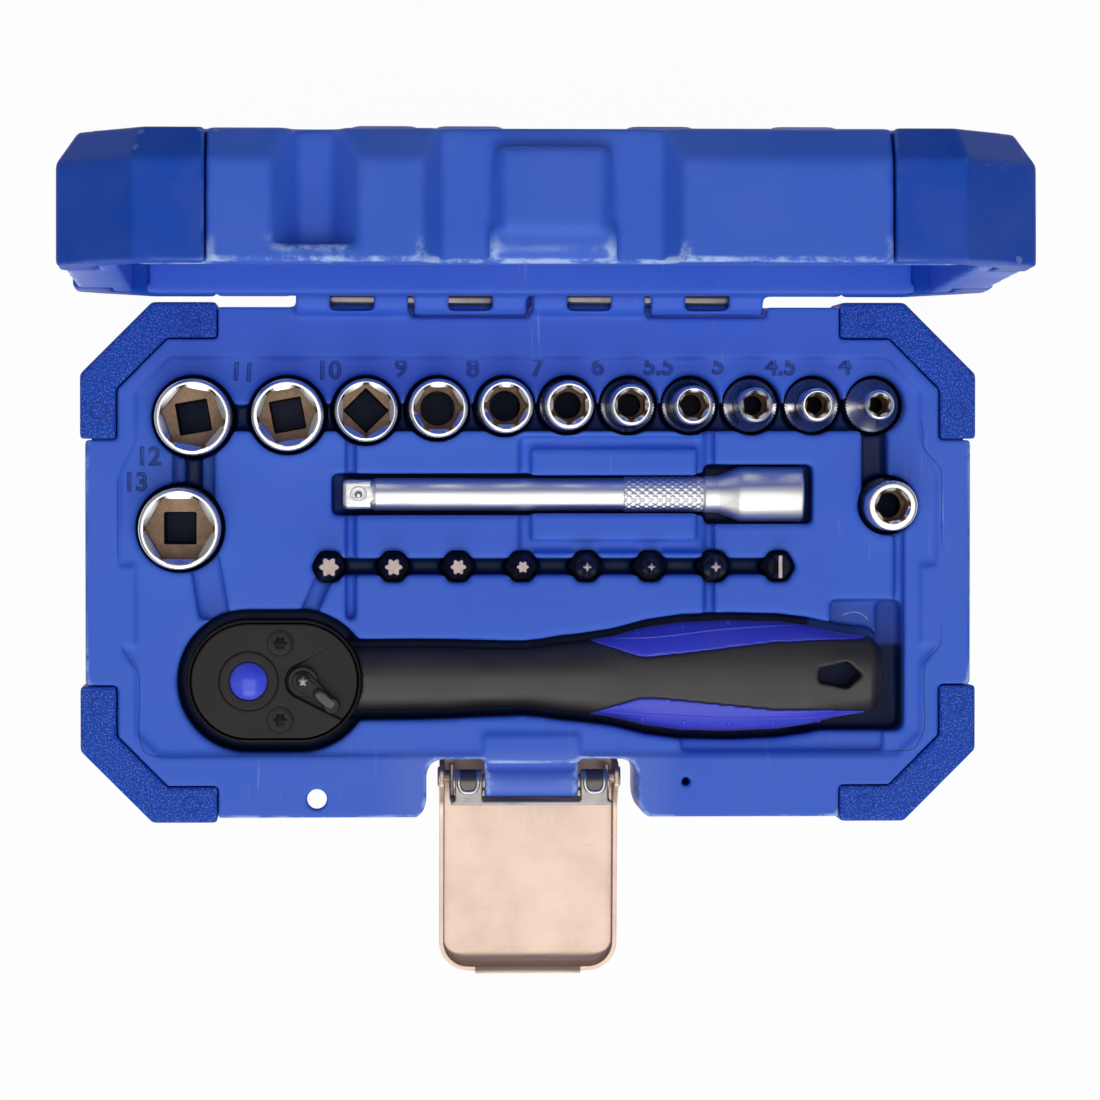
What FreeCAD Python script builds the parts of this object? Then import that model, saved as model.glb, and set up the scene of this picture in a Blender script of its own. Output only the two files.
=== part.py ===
import FreeCAD, Part
import math
import os
import re
import Sketcher
from FreeCAD import Placement, Rotation, Vector

# Socket wrench set in its case, open at rest.
# Millimetres. +X along the long side, +Y towards the hinge, +Z up, origin under the middle of the base.

SIZES = [
    # the case
    ("base_height", 30.0, "underside to rim of the base"),
    ("lid_height", 26.7, "rim to top of the lid"),
    ("rim_gap", 0.4, "between base and lid when shut"),
    ("bevel_height", 6.5, "bevel along the outer edges of base and lid"),
    ("bevel_angle", 34.0, "lean of that bevel"),
    ("corner_cut", 15.0, "leg of the cut at each corner of the case"),
    ("deck_step", 0.8, "drop from the rim to the top of the tool insert"),
    ("floor_thickness", 3.0, "floor of the base under the tool insert"),
    ("step_inset", 10.8, "border of the deck behind and beside the tools"),
    ("step_front", 13.2, "border of the deck in front"),
    ("step_side", 7.2, "border of the deck beside the bits"),
    ("side_margin", 15.0, "end wall to the first and last pocket of the socket row"),
    ("back_margin", 15.4, "back wall to the back edge of the socket row"),
    ("front_margin", 13.4, "front wall to the ratchet pocket"),
    ("ratchet_margin", 20.4, "end wall to the ratchet at each end"),
    ("ratchet_shift", 1.5, "ratchet to the right of the middle"),
    ("guard_proud", 1.1, "corner guards stand out of the wall by this"),
    ("guard_width", 7.8, "arm width of a corner guard, seen from above"),
    ("guard_length", 29.7, "arm length of a corner guard"),
    ("guard_gap", 0.25, "gap between a corner guard and its seat"),
    ("lid_wall", 11.0, "rim width of the lid"),
    ("lid_skin", 4.5, "top wall of the lid"),
    # hinge
    ("hinge_setback", 1.9, "hinge axis behind the back wall"),
    ("hinge_pin_radius", 1.5, "steel hinge pin"),
    ("knuckle_radius", 3.6, "moulded hinge knuckle"),
    ("knuckle_length", 24.3, "one knuckle"),
    ("knuckle_root", 2.0, "root of a knuckle in the wall of its half"),
    ("knuckle_gap", 1.4, "between neighbouring knuckles"),
    ("knuckle_room", 0.5, "clearance round a knuckle in the other half"),
    ("hinge_window", 9.4, "opening in a knuckle that shows the pin"),
    ("pin_play", 0.05, "radial running clearance of a pin"),
    ("lid_open", 92.0, "opening angle of the lid"),
    # holes of the front wall
    ("hang_hole_radius", 2.2, "padlock hole in the front flange"),
    ("hang_hole_x", -46.2, "place of the padlock hole"),
    ("hang_hole_inset", 4.0, "padlock hole behind the front wall"),
    ("flute_mouth", 17.6, "flute below and above the padlock hole, at the front wall"),
    ("flute_floor", 6.4, "bottom of that flute"),
    ("flute_depth", 7.5, "depth of that flute"),
    ("flange_thickness", 3.5, "flange that holds the padlock hole"),
    ("vent_radius", 1.0, "blow hole of the moulding"),
    ("vent_x", 34.2, "place of the blow hole"),
    ("vent_inset", 7.6, "blow hole behind the front wall"),
    ("vent_depth", 18.0, "depth of the blow hole"),
    # latch
    ("latch_x", 0.6, "middle of the latch"),
    ("latch_recess", 46.0, "width of the latch recess in the base"),
    ("latch_recess_depth", 12.6, "depth of that recess behind the front wall"),
    ("recess_corner", 3.0, "rounding of that recess"),
    ("latch_wall", 2.0, "wall of the base between that recess and the tool insert"),
    ("boss_width", 20.6, "boss that carries the latch pin"),
    ("boss_radius", 3.4, "boss round the latch pin"),
    ("latch_pin_radius", 1.8, "latch pin"),
    ("latch_pin_drop", 5.6, "latch pin below the rim"),
    ("latch_pin_inset", 7.3, "latch pin behind the front wall"),
    ("latch_pin_bite", 2.5, "seat of the pin in each side wall"),
    ("sheet", 1.0, "thickness of the latch's sheet steel"),
    ("loop_width", 6.0, "one loop of the link round the pin"),
    ("link_drop", 13.0, "lever pivot below the latch pin"),
    ("link_setback", 0.4, "lever pivot behind the latch pin"),
    ("link_reach", 3.9, "link web in front of the latch pin"),
    ("rivet_radius", 1.5, "rivets of the lever"),
    ("link_play", 0.4, "side clearance between the pieces of the latch"),
    ("lever_width", 38.0, "latch lever across its flanges"),
    ("lever_length", 44.0, "lever pivot to the inner face of the hook"),
    ("lever_tail", 3.2, "lever past its pivot"),
    ("lever_drop", 5.6, "lever pivot above the inner face of its plate"),
    ("flange_height", 3.2, "side flange of the lever"),
    ("hook_width", 25.0, "hooked lip of the lever"),
    ("hook_height", 3.0, "lip above the plate"),
    ("lever_slope", 5.5, "lean of the open lever below level"),
    ("catch_width", 23.9, "catch block of the lid"),
    ("catch_taper", 0.6, "catch block narrower at its top by this on each side"),
    ("catch_bevel", 3.0, "lean of the sides of the catch block"),
    ("catch_recess", 6.0, "depth of the recess round the catch block"),
    ("catch_flare", 4.0, "lean of the side walls of that recess"),
    ("catch_step", 2.0, "foot under the catch block, above the floor of the recess"),
    ("catch_play", 0.5, "catch block to the shut lever"),
    ("hook_room", 2.0, "catch block to the inside of the shut hook"),
    # ratchet
    ("head_radius", 13.35, "round ends of the ratchet head"),
    ("head_spacing", 11.2, "between the two round ends"),
    ("head_height", 13.0, "ratchet head"),
    ("neck_length", 47.0, "end of the head to the start of the grips"),
    ("grip_rise", 22.6, "start of the grips to their full width"),
    ("grip_run", 21.0, "grips at their full width"),
    ("tail_length", 23.3, "grips at their full width to the end of the handle"),
    ("head_room", 3.0, "deck round the ratchet head"),
    ("head_clear", 2.2, "pocket round the ratchet head"),
    ("handle_clear", 1.8, "pocket round the handle"),
    ("ratchet_sink", 5.2, "ratchet axis below the deck"),
    ("pocket_room", 0.5, "clearance under and beside a tool in its pocket"),
    ("handle_lean", 1.2, "sideways lean of the handle over its length"),
    ("neck_width", 14.1, "ratchet neck at the head"),
    ("neck_height", 10.4, "ratchet neck at the head"),
    ("slim_width", 12.8, "ratchet neck where it is slimmest"),
    ("slim_height", 9.8, "ratchet neck where it is slimmest"),
    ("waist_width", 15.6, "handle where the grips begin"),
    ("waist_height", 11.4, "handle where the grips begin"),
    ("grip_width", 23.7, "handle over the grips"),
    ("grip_height", 15.0, "handle over the grips"),
    ("tail_width", 16.6, "handle near its end"),
    ("tail_height", 13.0, "handle near its end"),
    ("end_round", 2.4, "rounding at the end of the handle"),
    ("core_waist", 9.0, "hard core between the grips at the waist"),
    ("core_tail", 15.6, "hard core between the grips near the end"),
    ("hang_slot_length", 9.8, "hanging hole of the handle"),
    ("hang_slot_width", 6.0, "hanging hole of the handle"),
    ("hang_slot_end", 4.6, "hanging hole to the end of the handle"),
    ("cover_inset", 0.7, "edge of the head round the cover plate"),
    ("cover_height", 1.8, "cover plate"),
    ("gear_radius", 8.0, "toothed wheel of the drive, over its teeth"),
    ("gear_height", 8.4, "toothed wheel"),
    ("gear_room", 0.35, "clearance round the toothed wheel"),
    ("gear_wall", 2.2, "floor of the head under the toothed wheel"),
    ("tang_radius", 3.4, "round tang of the head in the handle"),
    ("pawl_room", 5.4, "radius of the chamber round the pawl"),
    ("pawl_width", 7.0, "pawl across the handle"),
    ("pawl_back", 2.6, "pawl behind its axis"),
    ("plunger_radius", 1.2, "plunger behind the pawl"),
    ("plunger_length", 4.0, "plunger behind the pawl"),
    ("spring_length", 2.6, "springs of the button and of the pawl"),
    ("button_skirt", 1.0, "straight side of the release button"),
    ("journal_radius", 6.4, "drive in the cover and in the head"),
    ("drive_square", 6.35, "square of a quarter-inch drive"),
    ("drive_length", 7.6, "square below the head"),
    ("button_radius", 4.1, "release button"),
    ("button_proud", 1.8, "release button above the drive"),
    ("button_travel", 1.5, "travel of the release button"),
    ("ball_radius", 1.2, "locking balls"),
    ("ball_proud", 0.45, "locking ball out of the square"),
    ("ball_spring", 1.6, "spring under the ball of the extension bar"),
    ("lever_pivot", 11.8, "drive axis to the axis of the reverse lever"),
    ("lever_disc_radius", 3.3, "hub of the reverse lever"),
    ("lever_shaft_radius", 1.6, "shaft of the reverse lever"),
    ("thumb_length", 9.4, "reverse lever from its axis to its tip"),
    ("thumb_width", 2.6, "thumb tab of the reverse lever"),
    ("thumb_height", 2.2, "thumb tab above the cover"),
    ("lever_swing", 80.0, "swing of the reverse lever"),
    ("screw_head_radius", 2.7, "cover screws"),
    ("screw_radius", 1.3, "shank of a cover screw"),
    ("screw_length", 6.0, "shank of a cover screw"),
    ("screw_x", 6.9, "cover screws from the drive axis, along the handle"),
    ("screw_y", 8.35, "cover screws from the drive axis, across the handle"),
    # extension bar
    ("extension_shaft_length", 54.6, "plain shaft"),
    ("extension_neck_length", 3.3, "neck behind the knurled stretch"),
    ("extension_x", 9.75, "middle of the extension bar"),
    ("extension_sink", 4.0, "extension axis below the deck"),
    ("extension_square", 6.7, "length of the square end"),
    ("extension_shaft", 7.1, "shaft diameter"),
    ("extension_knurl", 7.8, "knurled stretch, diameter"),
    ("knurl_length", 17.4, "knurled stretch"),
    ("extension_neck", 8.2, "neck diameter"),
    ("extension_taper", 4.5, "length of the taper"),
    ("extension_end", 12.0, "socket end, diameter"),
    ("extension_end_length", 14.0, "socket end"),
    ("square_room", 0.12, "square sockets are wider than the square by this"),
    ("square_depth", 8.5, "depth of a square socket"),
    ("clip_length", 36.0, "clip pads beside the extension bar"),
    ("clip_x", 18.5, "middle of the clip pads"),
    ("clip_reach", 12.6, "extension axis to the outer edge of the clip recesses"),
    ("clip_border", 2.6, "recess round a clip pad"),
    ("clip_depth", 1.8, "recess round a clip pad, depth"),
    # rows
    ("row_break", 3.85, "between the corner socket and the row"),
    ("socket_gap", 1.92, "between the plain sockets of the row"),
    ("ring_gap", 1.64, "between the small sockets of the row"),
    ("socket_length", 25.0, "all sockets"),
    ("socket_depth", 15.0, "socket pockets below the deck"),
    ("socket_room", 0.7, "pocket radius is larger than the socket by this"),
    ("hex_depth", 10.0, "hexagon of a socket"),
    ("ring_height", 9.0, "lower, knurled part of a socket"),
    ("ring_proud", 0.25, "knurled part stands out of a plain socket"),
    ("small_ring", 11.8, "lower part of the small sockets, diameter"),
    ("rim_chamfer", 0.5, "chamfer of the sockets"),
    ("corner_pitch", 24.1, "between the two corner sockets"),
    ("corner_margin", 11.5, "end wall to the pocket of the largest socket"),
    ("adapter_outer", 10.9, "bit adapter, upper part"),
    ("adapter_margin", 12.1, "end wall to the adapter"),
    ("adapter_drop", 2.4, "adapter in front of the extension axis"),
    ("extension_to_row", 25.3, "extension axis to the back edge of the row"),
    ("bits_to_extension", 15.7, "bit row to the extension axis"),
    ("bits_setback", 8.5, "ratchet pocket to the bit row"),
    ("bits_x", 5.45, "middle of the bit row"),
    ("bit_pitch", 14.0, "between bits"),
    ("bit_flats", 6.35, "quarter-inch hexagon"),
    ("bit_neck", 3.5, "turned neck of a bit"),
    ("bit_point", 4.0, "tip of a bit"),
    ("bit_shank", 17.5, "hexagon part of a bit"),
    ("bit_depth", 20.0, "bit pockets below the deck"),
    ("bit_room", 0.5, "bit pockets are wider than the hexagon by this"),
    ("row_slot_width", 5.6, "finger slot along the socket row"),
    ("slot_depth", 9.0, "finger slots below the deck"),
    ("bit_slot_width", 3.5, "slot along the bit row"),
    ("groove_width", 2.2, "grooves across the deck"),
    ("rib_length", 17.0, "rib at each end of the deck"),
    ("rib_width", 3.4, "rib at each end of the deck"),
    ("lid_rib_width", 13.0, "low ribs on the lid"),
    ("lid_rib_height", 1.0, "low ribs on the lid"),
]

# name, across flats, diameter over the upper part, turn of the hexagon
SOCKETS = [
    ("13", 13.0, 17.7, 30.0),
    ("12", 12.0, 16.5, 11.0),
    ("11", 11.0, 15.6, 20.0),
    ("10", 10.0, 13.6, 26.0),
    ("9", 9.0, 12.7, 12.0),
    ("8", 8.0, 11.7, 4.0),
    ("7", 7.0, 10.6, 18.0),
    ("6", 6.0, 9.1, 30.0),
    ("5_5", 5.5, 8.4, 8.0),
    ("5", 5.0, 7.5, 22.0),
    ("4_5", 4.5, 7.3, 14.0),
    ("4", 4.0, 6.5, 27.0),
]
SMALL_SOCKETS = ("7", "6", "5_5", "5", "4_5", "4")
SQUARE_THROUGH = ("13", "12", "11", "10")
ROW_SOCKETS = [name for name, flats, outer, turn in SOCKETS if name != "13"]

# name, kind of tip, width of the tip
BITS = [
    ("bit_1", "lobe", 4.4),
    ("bit_2", "lobe", 3.9),
    ("bit_3", "lobe", 3.5),
    ("bit_4", "lobe", 2.7),
    ("bit_5", "cross", 5.0),
    ("bit_6", "cross", 4.2),
    ("bit_7", "cross", 5.6),
    ("bit_8", "slot", 5.0),
]

for name, flats, outer, turn in SOCKETS:
    SIZES.append((f"socket_{name}_flats", flats, "hexagon across flats"))
    SIZES.append((f"socket_{name}_outer", outer, "upper part, diameter"))
for name, kind, width in BITS:
    SIZES.append((f"{name}_tip", width, "width of the tip"))

VALUES = {alias: value for alias, value, words in SIZES}

DERIVED = {
    "rim": "base_height",
    "deck": "base_height - deck_step",
    "socket_floor": "deck - socket_depth",
    "case_width": "front_margin + 2*head_radius + 2*head_room + bits_setback + bits_to_extension"
                  " + extension_to_row + back_margin",
    "half_width": "case_width/2",
    "ratchet_length": "2*head_radius + head_spacing + neck_length + grip_rise + grip_run + tail_length",
    "extension_length": "extension_square + extension_shaft_length + knurl_length"
                        " + extension_neck_length + extension_taper + extension_end_length",
    "head_end": "head_x + head_spacing + head_radius",
    "waist_x": "head_end + neck_length",
    "full_x": "waist_x + grip_rise",
    "fade_x": "full_x + grip_run",
    "gear_middle": "head_bottom + gear_wall + gear_room/2 + gear_height/2",
    "stem_radius": "drive_square/2 + ball_proud - 2*ball_radius - pin_play",
    "lid_low": "rim_gap/2",
    "lid_top": "rim_gap/2 + lid_height",
    "catch_top": "latch_pivot_z + lever_length - hook_room - hinge_z",
    "guard_inset": "guard_width - guard_proud",
    "ratchet_y": "-half_width + front_margin + head_room + head_radius",
    "bits_y": "ratchet_y + head_radius + head_room + bits_setback",
    "extension_y": "bits_y + bits_to_extension",
    "row_back": "extension_y + extension_to_row",
    "half_length": "case_length/2",
    "case_length": "max(row_length + 2*side_margin; ratchet_length + 2*ratchet_margin)",
    "hinge_y": "half_width + hinge_setback",
    "hinge_z": "base_height + rim_gap/2",
    "ratchet_z": "deck - ratchet_sink",
    "head_x": "-ratchet_length/2 + head_radius + ratchet_shift",
    "tail_x": "head_x - head_radius + ratchet_length",
    "head_top": "ratchet_z + head_height/2",
    "head_bottom": "ratchet_z - head_height/2",
    "extension_z": "deck - extension_sink",
    "extension_tip": "extension_x - extension_length/2",
    "extension_heel": "extension_x + extension_length/2",
    "latch_pin_y": "-half_width + latch_pin_inset",
    "latch_pin_z": "rim - latch_pin_drop",
    "latch_pivot_y": "latch_pin_y + link_setback",
    "latch_pivot_z": "latch_pin_z - link_drop",
    "adapter_x": "half_length - adapter_margin - small_ring/2",
    "adapter_y": "extension_y - adapter_drop",
}


def ring_of(name):
    """Diameter of a socket's lower, knurled part."""
    if name in SMALL_SOCKETS:
        return "small_ring"
    return f"(socket_{name}_outer + 2*ring_proud)"


def gap_after(name):
    """Gap between a socket of the row and its neighbour to the right."""
    if name == "12":
        return "row_break"
    return "ring_gap" if name in SMALL_SOCKETS or name == "8" else "socket_gap"


row_parts = [ring_of(name) for name in ROW_SOCKETS]
row_parts += [gap_after(name) for name in ROW_SOCKETS[:-1]]
DERIVED["row_length"] = " + ".join(row_parts)
right_edge = "half_length - side_margin"
for name in reversed(ROW_SOCKETS):
    if name == "12":
        DERIVED["socket_12_x"] = f"-half_length + side_margin + {ring_of('12')}/2"
    else:
        DERIVED[f"socket_{name}_x"] = f"{right_edge} - {ring_of(name)}/2"
    DERIVED[f"socket_{name}_y"] = f"row_back - {ring_of(name)}/2"
    left_neighbour = ROW_SOCKETS[max(ROW_SOCKETS.index(name) - 1, 0)]
    right_edge = f"socket_{name}_x - {ring_of(name)}/2 - {gap_after(left_neighbour)}"
DERIVED["socket_13_x"] = f"-half_length + corner_margin + {ring_of('13')}/2"
DERIVED["socket_13_y"] = "socket_12_y - corner_pitch"
for place_in_row, (name, kind, width) in enumerate(BITS):
    DERIVED[f"{name}_x"] = f"bits_x + bit_pitch*({place_in_row} - {(len(BITS) - 1)/2})"

DOCUMENT = FreeCAD.newDocument("socket_set")
SHEET = DOCUMENT.addObject("Spreadsheet::Sheet", "sizes")
for row, (alias, value, words) in enumerate(SIZES, start=1):
    SHEET.set(f"A{row}", alias)
    SHEET.set(f"B{row}", str(value))
    SHEET.setAlias(f"B{row}", alias)
    SHEET.set(f"C{row}", words)
DOCUMENT.recompute()

NODES = []
ABOVE = "rim + 1"
BELOW = "-1"
TURNED = {
    "X": Rotation(Vector(0, 1, 0), 90),
    "Y": Rotation(Vector(1, 0, 0), -90),
    "Z": Rotation(),
}
PROFILE_ALONG_X = Rotation(Vector(1, 1, 1), 120)


def rule(words):
    """Turn the named sizes and derived names of an expression into references to the sheet."""
    def swap(match):
        name = match.group()
        if name in VALUES:
            return "sizes." + name
        if name in DERIVED:
            return "(" + rule(DERIVED[name]) + ")"
        return name
    return re.sub(r"[a-z][a-z0-9_]*", swap, str(words))


def number(words):
    """Value of an expression in named sizes."""
    return float(SHEET.evalExpression(rule(words)))


def bind(piece, **rules):
    for size, words in rules.items():
        piece.setExpression(size, rule(words))
    return piece


def put(piece, spot, turn=None):
    """Place a piece at a spot given by three expressions."""
    piece.Placement = Placement(Vector(), turn or Rotation())
    for axis, words in zip("xyz", spot):
        piece.setExpression("Placement.Base." + axis, rule(words))
    return piece


def box(name, spot, length, width, height):
    """Box from its lowest corner."""
    piece = bind(DOCUMENT.addObject("Part::Box", name), Length=length, Width=width, Height=height)
    return put(piece, spot)


def block(name, spot, length, width, height):
    """Box that is centred on its spot in X and Y and stands on it in Z."""
    x, y, z = spot
    return box(name, (f"{x} - ({length})/2", f"{y} - ({width})/2", z), length, width, height)


def span(name, x, y, z):
    """Box between pairs of limits."""
    corner = (x[0], y[0], z[0])
    length, width, height = [f"({high}) - ({low})" for low, high in (x, y, z)]
    return box(name, corner, length, width, height)


def cylinder(name, spot, radius, height, along="Z"):
    piece = bind(DOCUMENT.addObject("Part::Cylinder", name), Radius=radius, Height=height)
    return put(piece, spot, TURNED[along])


def cone(name, spot, low, high, height, along="Z"):
    piece = bind(DOCUMENT.addObject("Part::Cone", name), Radius1=low, Radius2=high, Height=height)
    return put(piece, spot, TURNED[along])


def sphere(name, spot, radius):
    return put(bind(DOCUMENT.addObject("Part::Sphere", name), Radius=radius), spot)


def polygon(name, spot, sides, reach, height, turn=0.0):
    """Upright prism with a regular outline; reach is its radius over the corners."""
    piece = bind(DOCUMENT.addObject("Part::Prism", name), Circumradius=reach, Height=height)
    piece.Polygon = sides
    return put(piece, spot, Rotation(Vector(0, 0, 1), turn))


def hexagon(name, spot, flats, height, turn=0.0):
    return polygon(name, spot, 6, f"({flats})/sqrt(3)", height, turn)


def star(name, spot, width, height):
    """Six-pointed prism of a six-lobe drive."""
    halves = [polygon(name, spot, 3, f"({width})/2", height, turn) for turn in (0, 60)]
    return fuse(name, halves)


def outline(name, points):
    """Closed polygon as a sketch; each corner is bound in both directions."""
    sketch = DOCUMENT.addObject("Sketcher::SketchObject", name)
    places = [Vector(number(x), number(y), 0) for x, y in points]
    count = len(points)
    for corner in range(count):
        sketch.addGeometry(Part.LineSegment(places[corner], places[(corner + 1) % count]))
    for corner in range(count):
        sketch.addConstraint(Sketcher.Constraint("Coincident", corner, 2, (corner + 1) % count, 1))
    for corner, (x, y) in enumerate(points):
        for kind, words, value in (("DistanceX", x, places[corner].x), ("DistanceY", y, places[corner].y)):
            link = sketch.addConstraint(Sketcher.Constraint(kind, -1, 1, corner, 1, value))
            sketch.setExpression(f"Constraints[{link}]", rule(words))
    return sketch


def prism(name, points, start, height, along="Z", taper=None, downward=False):
    """Straight or tapered solid over a polygon, along Z or, from a Y-Z profile, along X."""
    sketch = outline(name + "_outline", points)
    if along == "X":
        put(sketch, (start, "0", "0"), PROFILE_ALONG_X)
    else:
        put(sketch, ("0", "0", start))
    piece = bind(DOCUMENT.addObject("Part::Extrusion", name), LengthFwd=height)
    piece.Base = sketch
    piece.DirMode = "Normal"
    piece.Solid = True
    piece.Reversed = downward
    if taper:
        bind(piece, TaperAngle=f"-{taper}*1 deg")
    return piece


def fuse(name, pieces):
    piece = DOCUMENT.addObject("Part::MultiFuse", name)
    piece.Shapes = pieces
    piece.Refine = True
    return piece


def cut(name, base, tools):
    piece = DOCUMENT.addObject("Part::Cut", name)
    piece.Base = base
    piece.Tool = tools[0] if len(tools) == 1 else fuse(name + "_tools", tools)
    piece.Refine = True
    return piece


def common(name, first, second):
    piece = DOCUMENT.addObject("Part::Common", name)
    piece.Base = first
    piece.Tool = second
    return piece


def ease(name, base, size, test, kind="Part::Fillet"):
    """Fillet or chamfer the edges of a piece that pass a test."""
    DOCUMENT.recompute()
    edges = [index for index, edge in enumerate(base.Shape.Edges, start=1) if test(edge)]
    piece = DOCUMENT.addObject(kind, name)
    piece.Base = base
    piece.Edges = [(index, number(size), number(size)) for index in edges]
    return piece


def node(label, piece):
    """Mark a finished piece as a sub-part with its own file."""
    piece.Label = label
    NODES.append(piece)
    return piece


def round_edge_at(height, radius):
    """Test for a level round edge of a radius at a height."""
    def test(edge):
        curve = edge.Curve
        level = abs(edge.BoundBox.ZMax - height) < 1e-4 and edge.BoundBox.ZLength < 1e-4
        return level and curve.TypeId == "Part::GeomCircle" and abs(curve.Radius - radius) < 1e-4
    return test


# The case
CORNERS = [("front_left", -1, -1), ("front_right", 1, -1), ("back_left", -1, 1), ("back_right", 1, 1)]
CORNER_SHRINK = 2 - 2 ** 0.5
LATCH_PIN_START = "latch_x - latch_recess/2 - latch_pin_bite"
LATCH_PIN_LENGTH = "latch_recess + 2*latch_pin_bite"
PIN_OVERLAP = "hinge_window*0.85"
PIN_LENGTH = f"knuckle_length + knuckle_gap + 2*{PIN_OVERLAP}"


def octagon(inset, shift="0"):
    """Plan outline of the case, set in by a distance and moved towards the front by a shift."""
    x = f"(half_length - ({inset}))"
    y = f"(half_width - ({inset}))"
    leg = f"(corner_cut - {CORNER_SHRINK:.4f}*({inset}))"
    quarter = [(f"{x} - {leg}", y), (x, f"{y} - {leg}")]
    points = [(across, f"-({along})") for across, along in quarter]
    points += reversed(quarter)
    points += [(f"-({across})", along) for across, along in quarter]
    points += [(f"-({across})", f"-({along})") for across, along in reversed(quarter)]
    return [(across, f"{along} - ({shift})") for across, along in points]


def case_half(name, inset, low, high, downward, shift="0"):
    """Straight wall of one half of the case with its bevelled outer edge."""
    points = octagon(inset, shift)
    start = f"{low} + bevel_height" if downward else low
    wall = prism(name + "_wall", points, start, f"{high} - ({low}) - bevel_height")
    turn = start if downward else f"{high} - bevel_height"
    bevel = prism(name + "_bevel", points, turn, "bevel_height", taper="bevel_angle", downward=downward)
    return fuse(name, [wall, bevel])


def corner_zone(name, side, end, spare, low, high, shift="0"):
    """Box over one corner of the case, as far as the arms of a guard reach plus a spare."""
    inner_x = f"half_length + guard_proud - guard_length - {spare}"
    inner_y = f"half_width + guard_proud - guard_length - {spare}"
    x = [inner_x, "half_length + corner_cut"]
    y = [inner_y, "half_width + corner_cut"]
    if side < 0:
        x = [f"-({limit})" for limit in reversed(x)]
    if end < 0:
        y = [f"-({limit})" for limit in reversed(y)]
    return span(name, x, [f"{limit} - ({shift})" for limit in y], (low, high))


def guards_and_notches(half, grown, low, high, shift="0"):
    """Corner guards of one half, and the notches that they sit in."""
    core = prism(half + "_core", octagon("guard_inset", shift), low, f"{high} - ({low})")
    seat = prism(half + "_seat", octagon("guard_inset + guard_gap", shift), low, f"{high} - ({low})")
    guards = {}
    notches = []
    for name, side, end in CORNERS:
        zone = corner_zone(f"{half}_{name}_zone", side, end, "0", low, high, shift)
        guards[name] = cut(f"{half}_{name}", common(f"{half}_{name}_part", grown, zone), [core])
        spare = corner_zone(f"{half}_{name}_spare", side, end, "guard_gap", low, high, shift)
        notches.append(cut(f"{half}_{name}_notch", spare, [seat]))
    return guards, notches


def knuckle_start(place):
    """Left end of the first, second, third or fourth hinge knuckle."""
    return f"({place} - 2)*(knuckle_length + knuckle_gap) + knuckle_gap/2"


def knuckle_middle(place):
    return f"{knuckle_start(place)} + knuckle_length/2"


def knuckle_clearance(place, y, z):
    """Round room for a knuckle of the other half."""
    start = f"{knuckle_start(place)} - knuckle_gap*0.7"
    return cylinder("knuckle_clearance", (start, y, z), "knuckle_radius + knuckle_room",
                    "knuckle_length + knuckle_gap*1.4", "X")


def socket_pockets():
    """Round pockets of the sockets and of the bit adapter."""
    pockets = []
    depth = f"{ABOVE} - socket_floor"
    for name, flats, outer, turn in SOCKETS:
        spot = (f"socket_{name}_x", f"socket_{name}_y", "socket_floor")
        pockets.append(cylinder("socket_pocket", spot, f"{ring_of(name)}/2 + socket_room", depth))
    spot = ("adapter_x", "adapter_y", "socket_floor")
    pockets.append(cylinder("adapter_pocket", spot, "small_ring/2 + socket_room", depth))
    return pockets


def finger_slots():
    """Slots that join the pockets."""
    slot_low = "deck - slot_depth"
    groove_low = "deck - slot_depth/3"
    row_middle = "row_back - small_ring/2 - row_slot_width/2"
    slots = [
        span("row_slot", ("socket_12_x", "socket_4_x"),
             (f"{row_middle} - row_slot_width/2", f"{row_middle} + row_slot_width/2"), (slot_low, ABOVE)),
        span("corner_slot", ("socket_12_x - row_slot_width*0.8", "socket_12_x + row_slot_width*0.8"),
             ("socket_13_y", "socket_12_y"), ("deck - slot_depth/2", ABOVE)),
        span("corner_slot_deep", ("socket_12_x - row_slot_width*0.32", "socket_12_x + row_slot_width*0.32"),
             ("socket_13_y", "socket_12_y"), (slot_low, ABOVE)),
        span("adapter_slot", ("socket_4_x - row_slot_width/2", "socket_4_x + row_slot_width/2"),
             ("adapter_y", "socket_4_y"), (slot_low, ABOVE)),
        span("bit_slot", ("bit_1_x", "bit_8_x"),
             ("bits_y - bit_slot_width/2", "bits_y + bit_slot_width/2"), (slot_low, ABOVE)),
        span("adapter_groove", ("adapter_x + small_ring*0.12", "adapter_x + small_ring*0.3"),
             ("ratchet_y", "adapter_y"), (groove_low, ABOVE)),
    ]
    pocket_edge = "ratchet_y + head_radius"
    slots.append(prism("corner_channel", [
        ("socket_13_x + 1", "socket_13_y"),
        ("head_x - head_radius*0.8", pocket_edge),
        ("head_x - head_radius*0.3", pocket_edge),
        (f"socket_13_x + {ring_of('13')}*0.4", "socket_13_y"),
    ], groove_low, f"{ABOVE} - ({groove_low})"))
    slots.append(prism("bit_channel", [
        ("bit_1_x - bit_flats*0.3", "bits_y"),
        ("bit_1_x - bit_flats*1.1", pocket_edge),
        ("bit_1_x - bit_flats*0.5", pocket_edge),
        ("bit_1_x + bit_flats*0.3", "bits_y"),
    ], groove_low, f"{ABOVE} - ({groove_low})"))
    grooves = [
        ("left_groove", "extension_tip + extension_square/4"),
        ("right_groove", "bit_7_x - groove_width/2"),
    ]
    for name, x in grooves:
        slots.append(span(name, (f"{x} - groove_width/2", f"{x} + groove_width/2"),
                          (pocket_edge, row_middle), (groove_low, ABOVE)))
    return slots


def bit_pockets():
    pockets = []
    for name, kind, width in BITS:
        spot = (f"{name}_x", "bits_y", "deck - bit_depth")
        pockets.append(hexagon("bit_pocket", spot, "bit_flats + bit_room", f"{ABOVE} - (deck - bit_depth)"))
    return pockets


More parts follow.
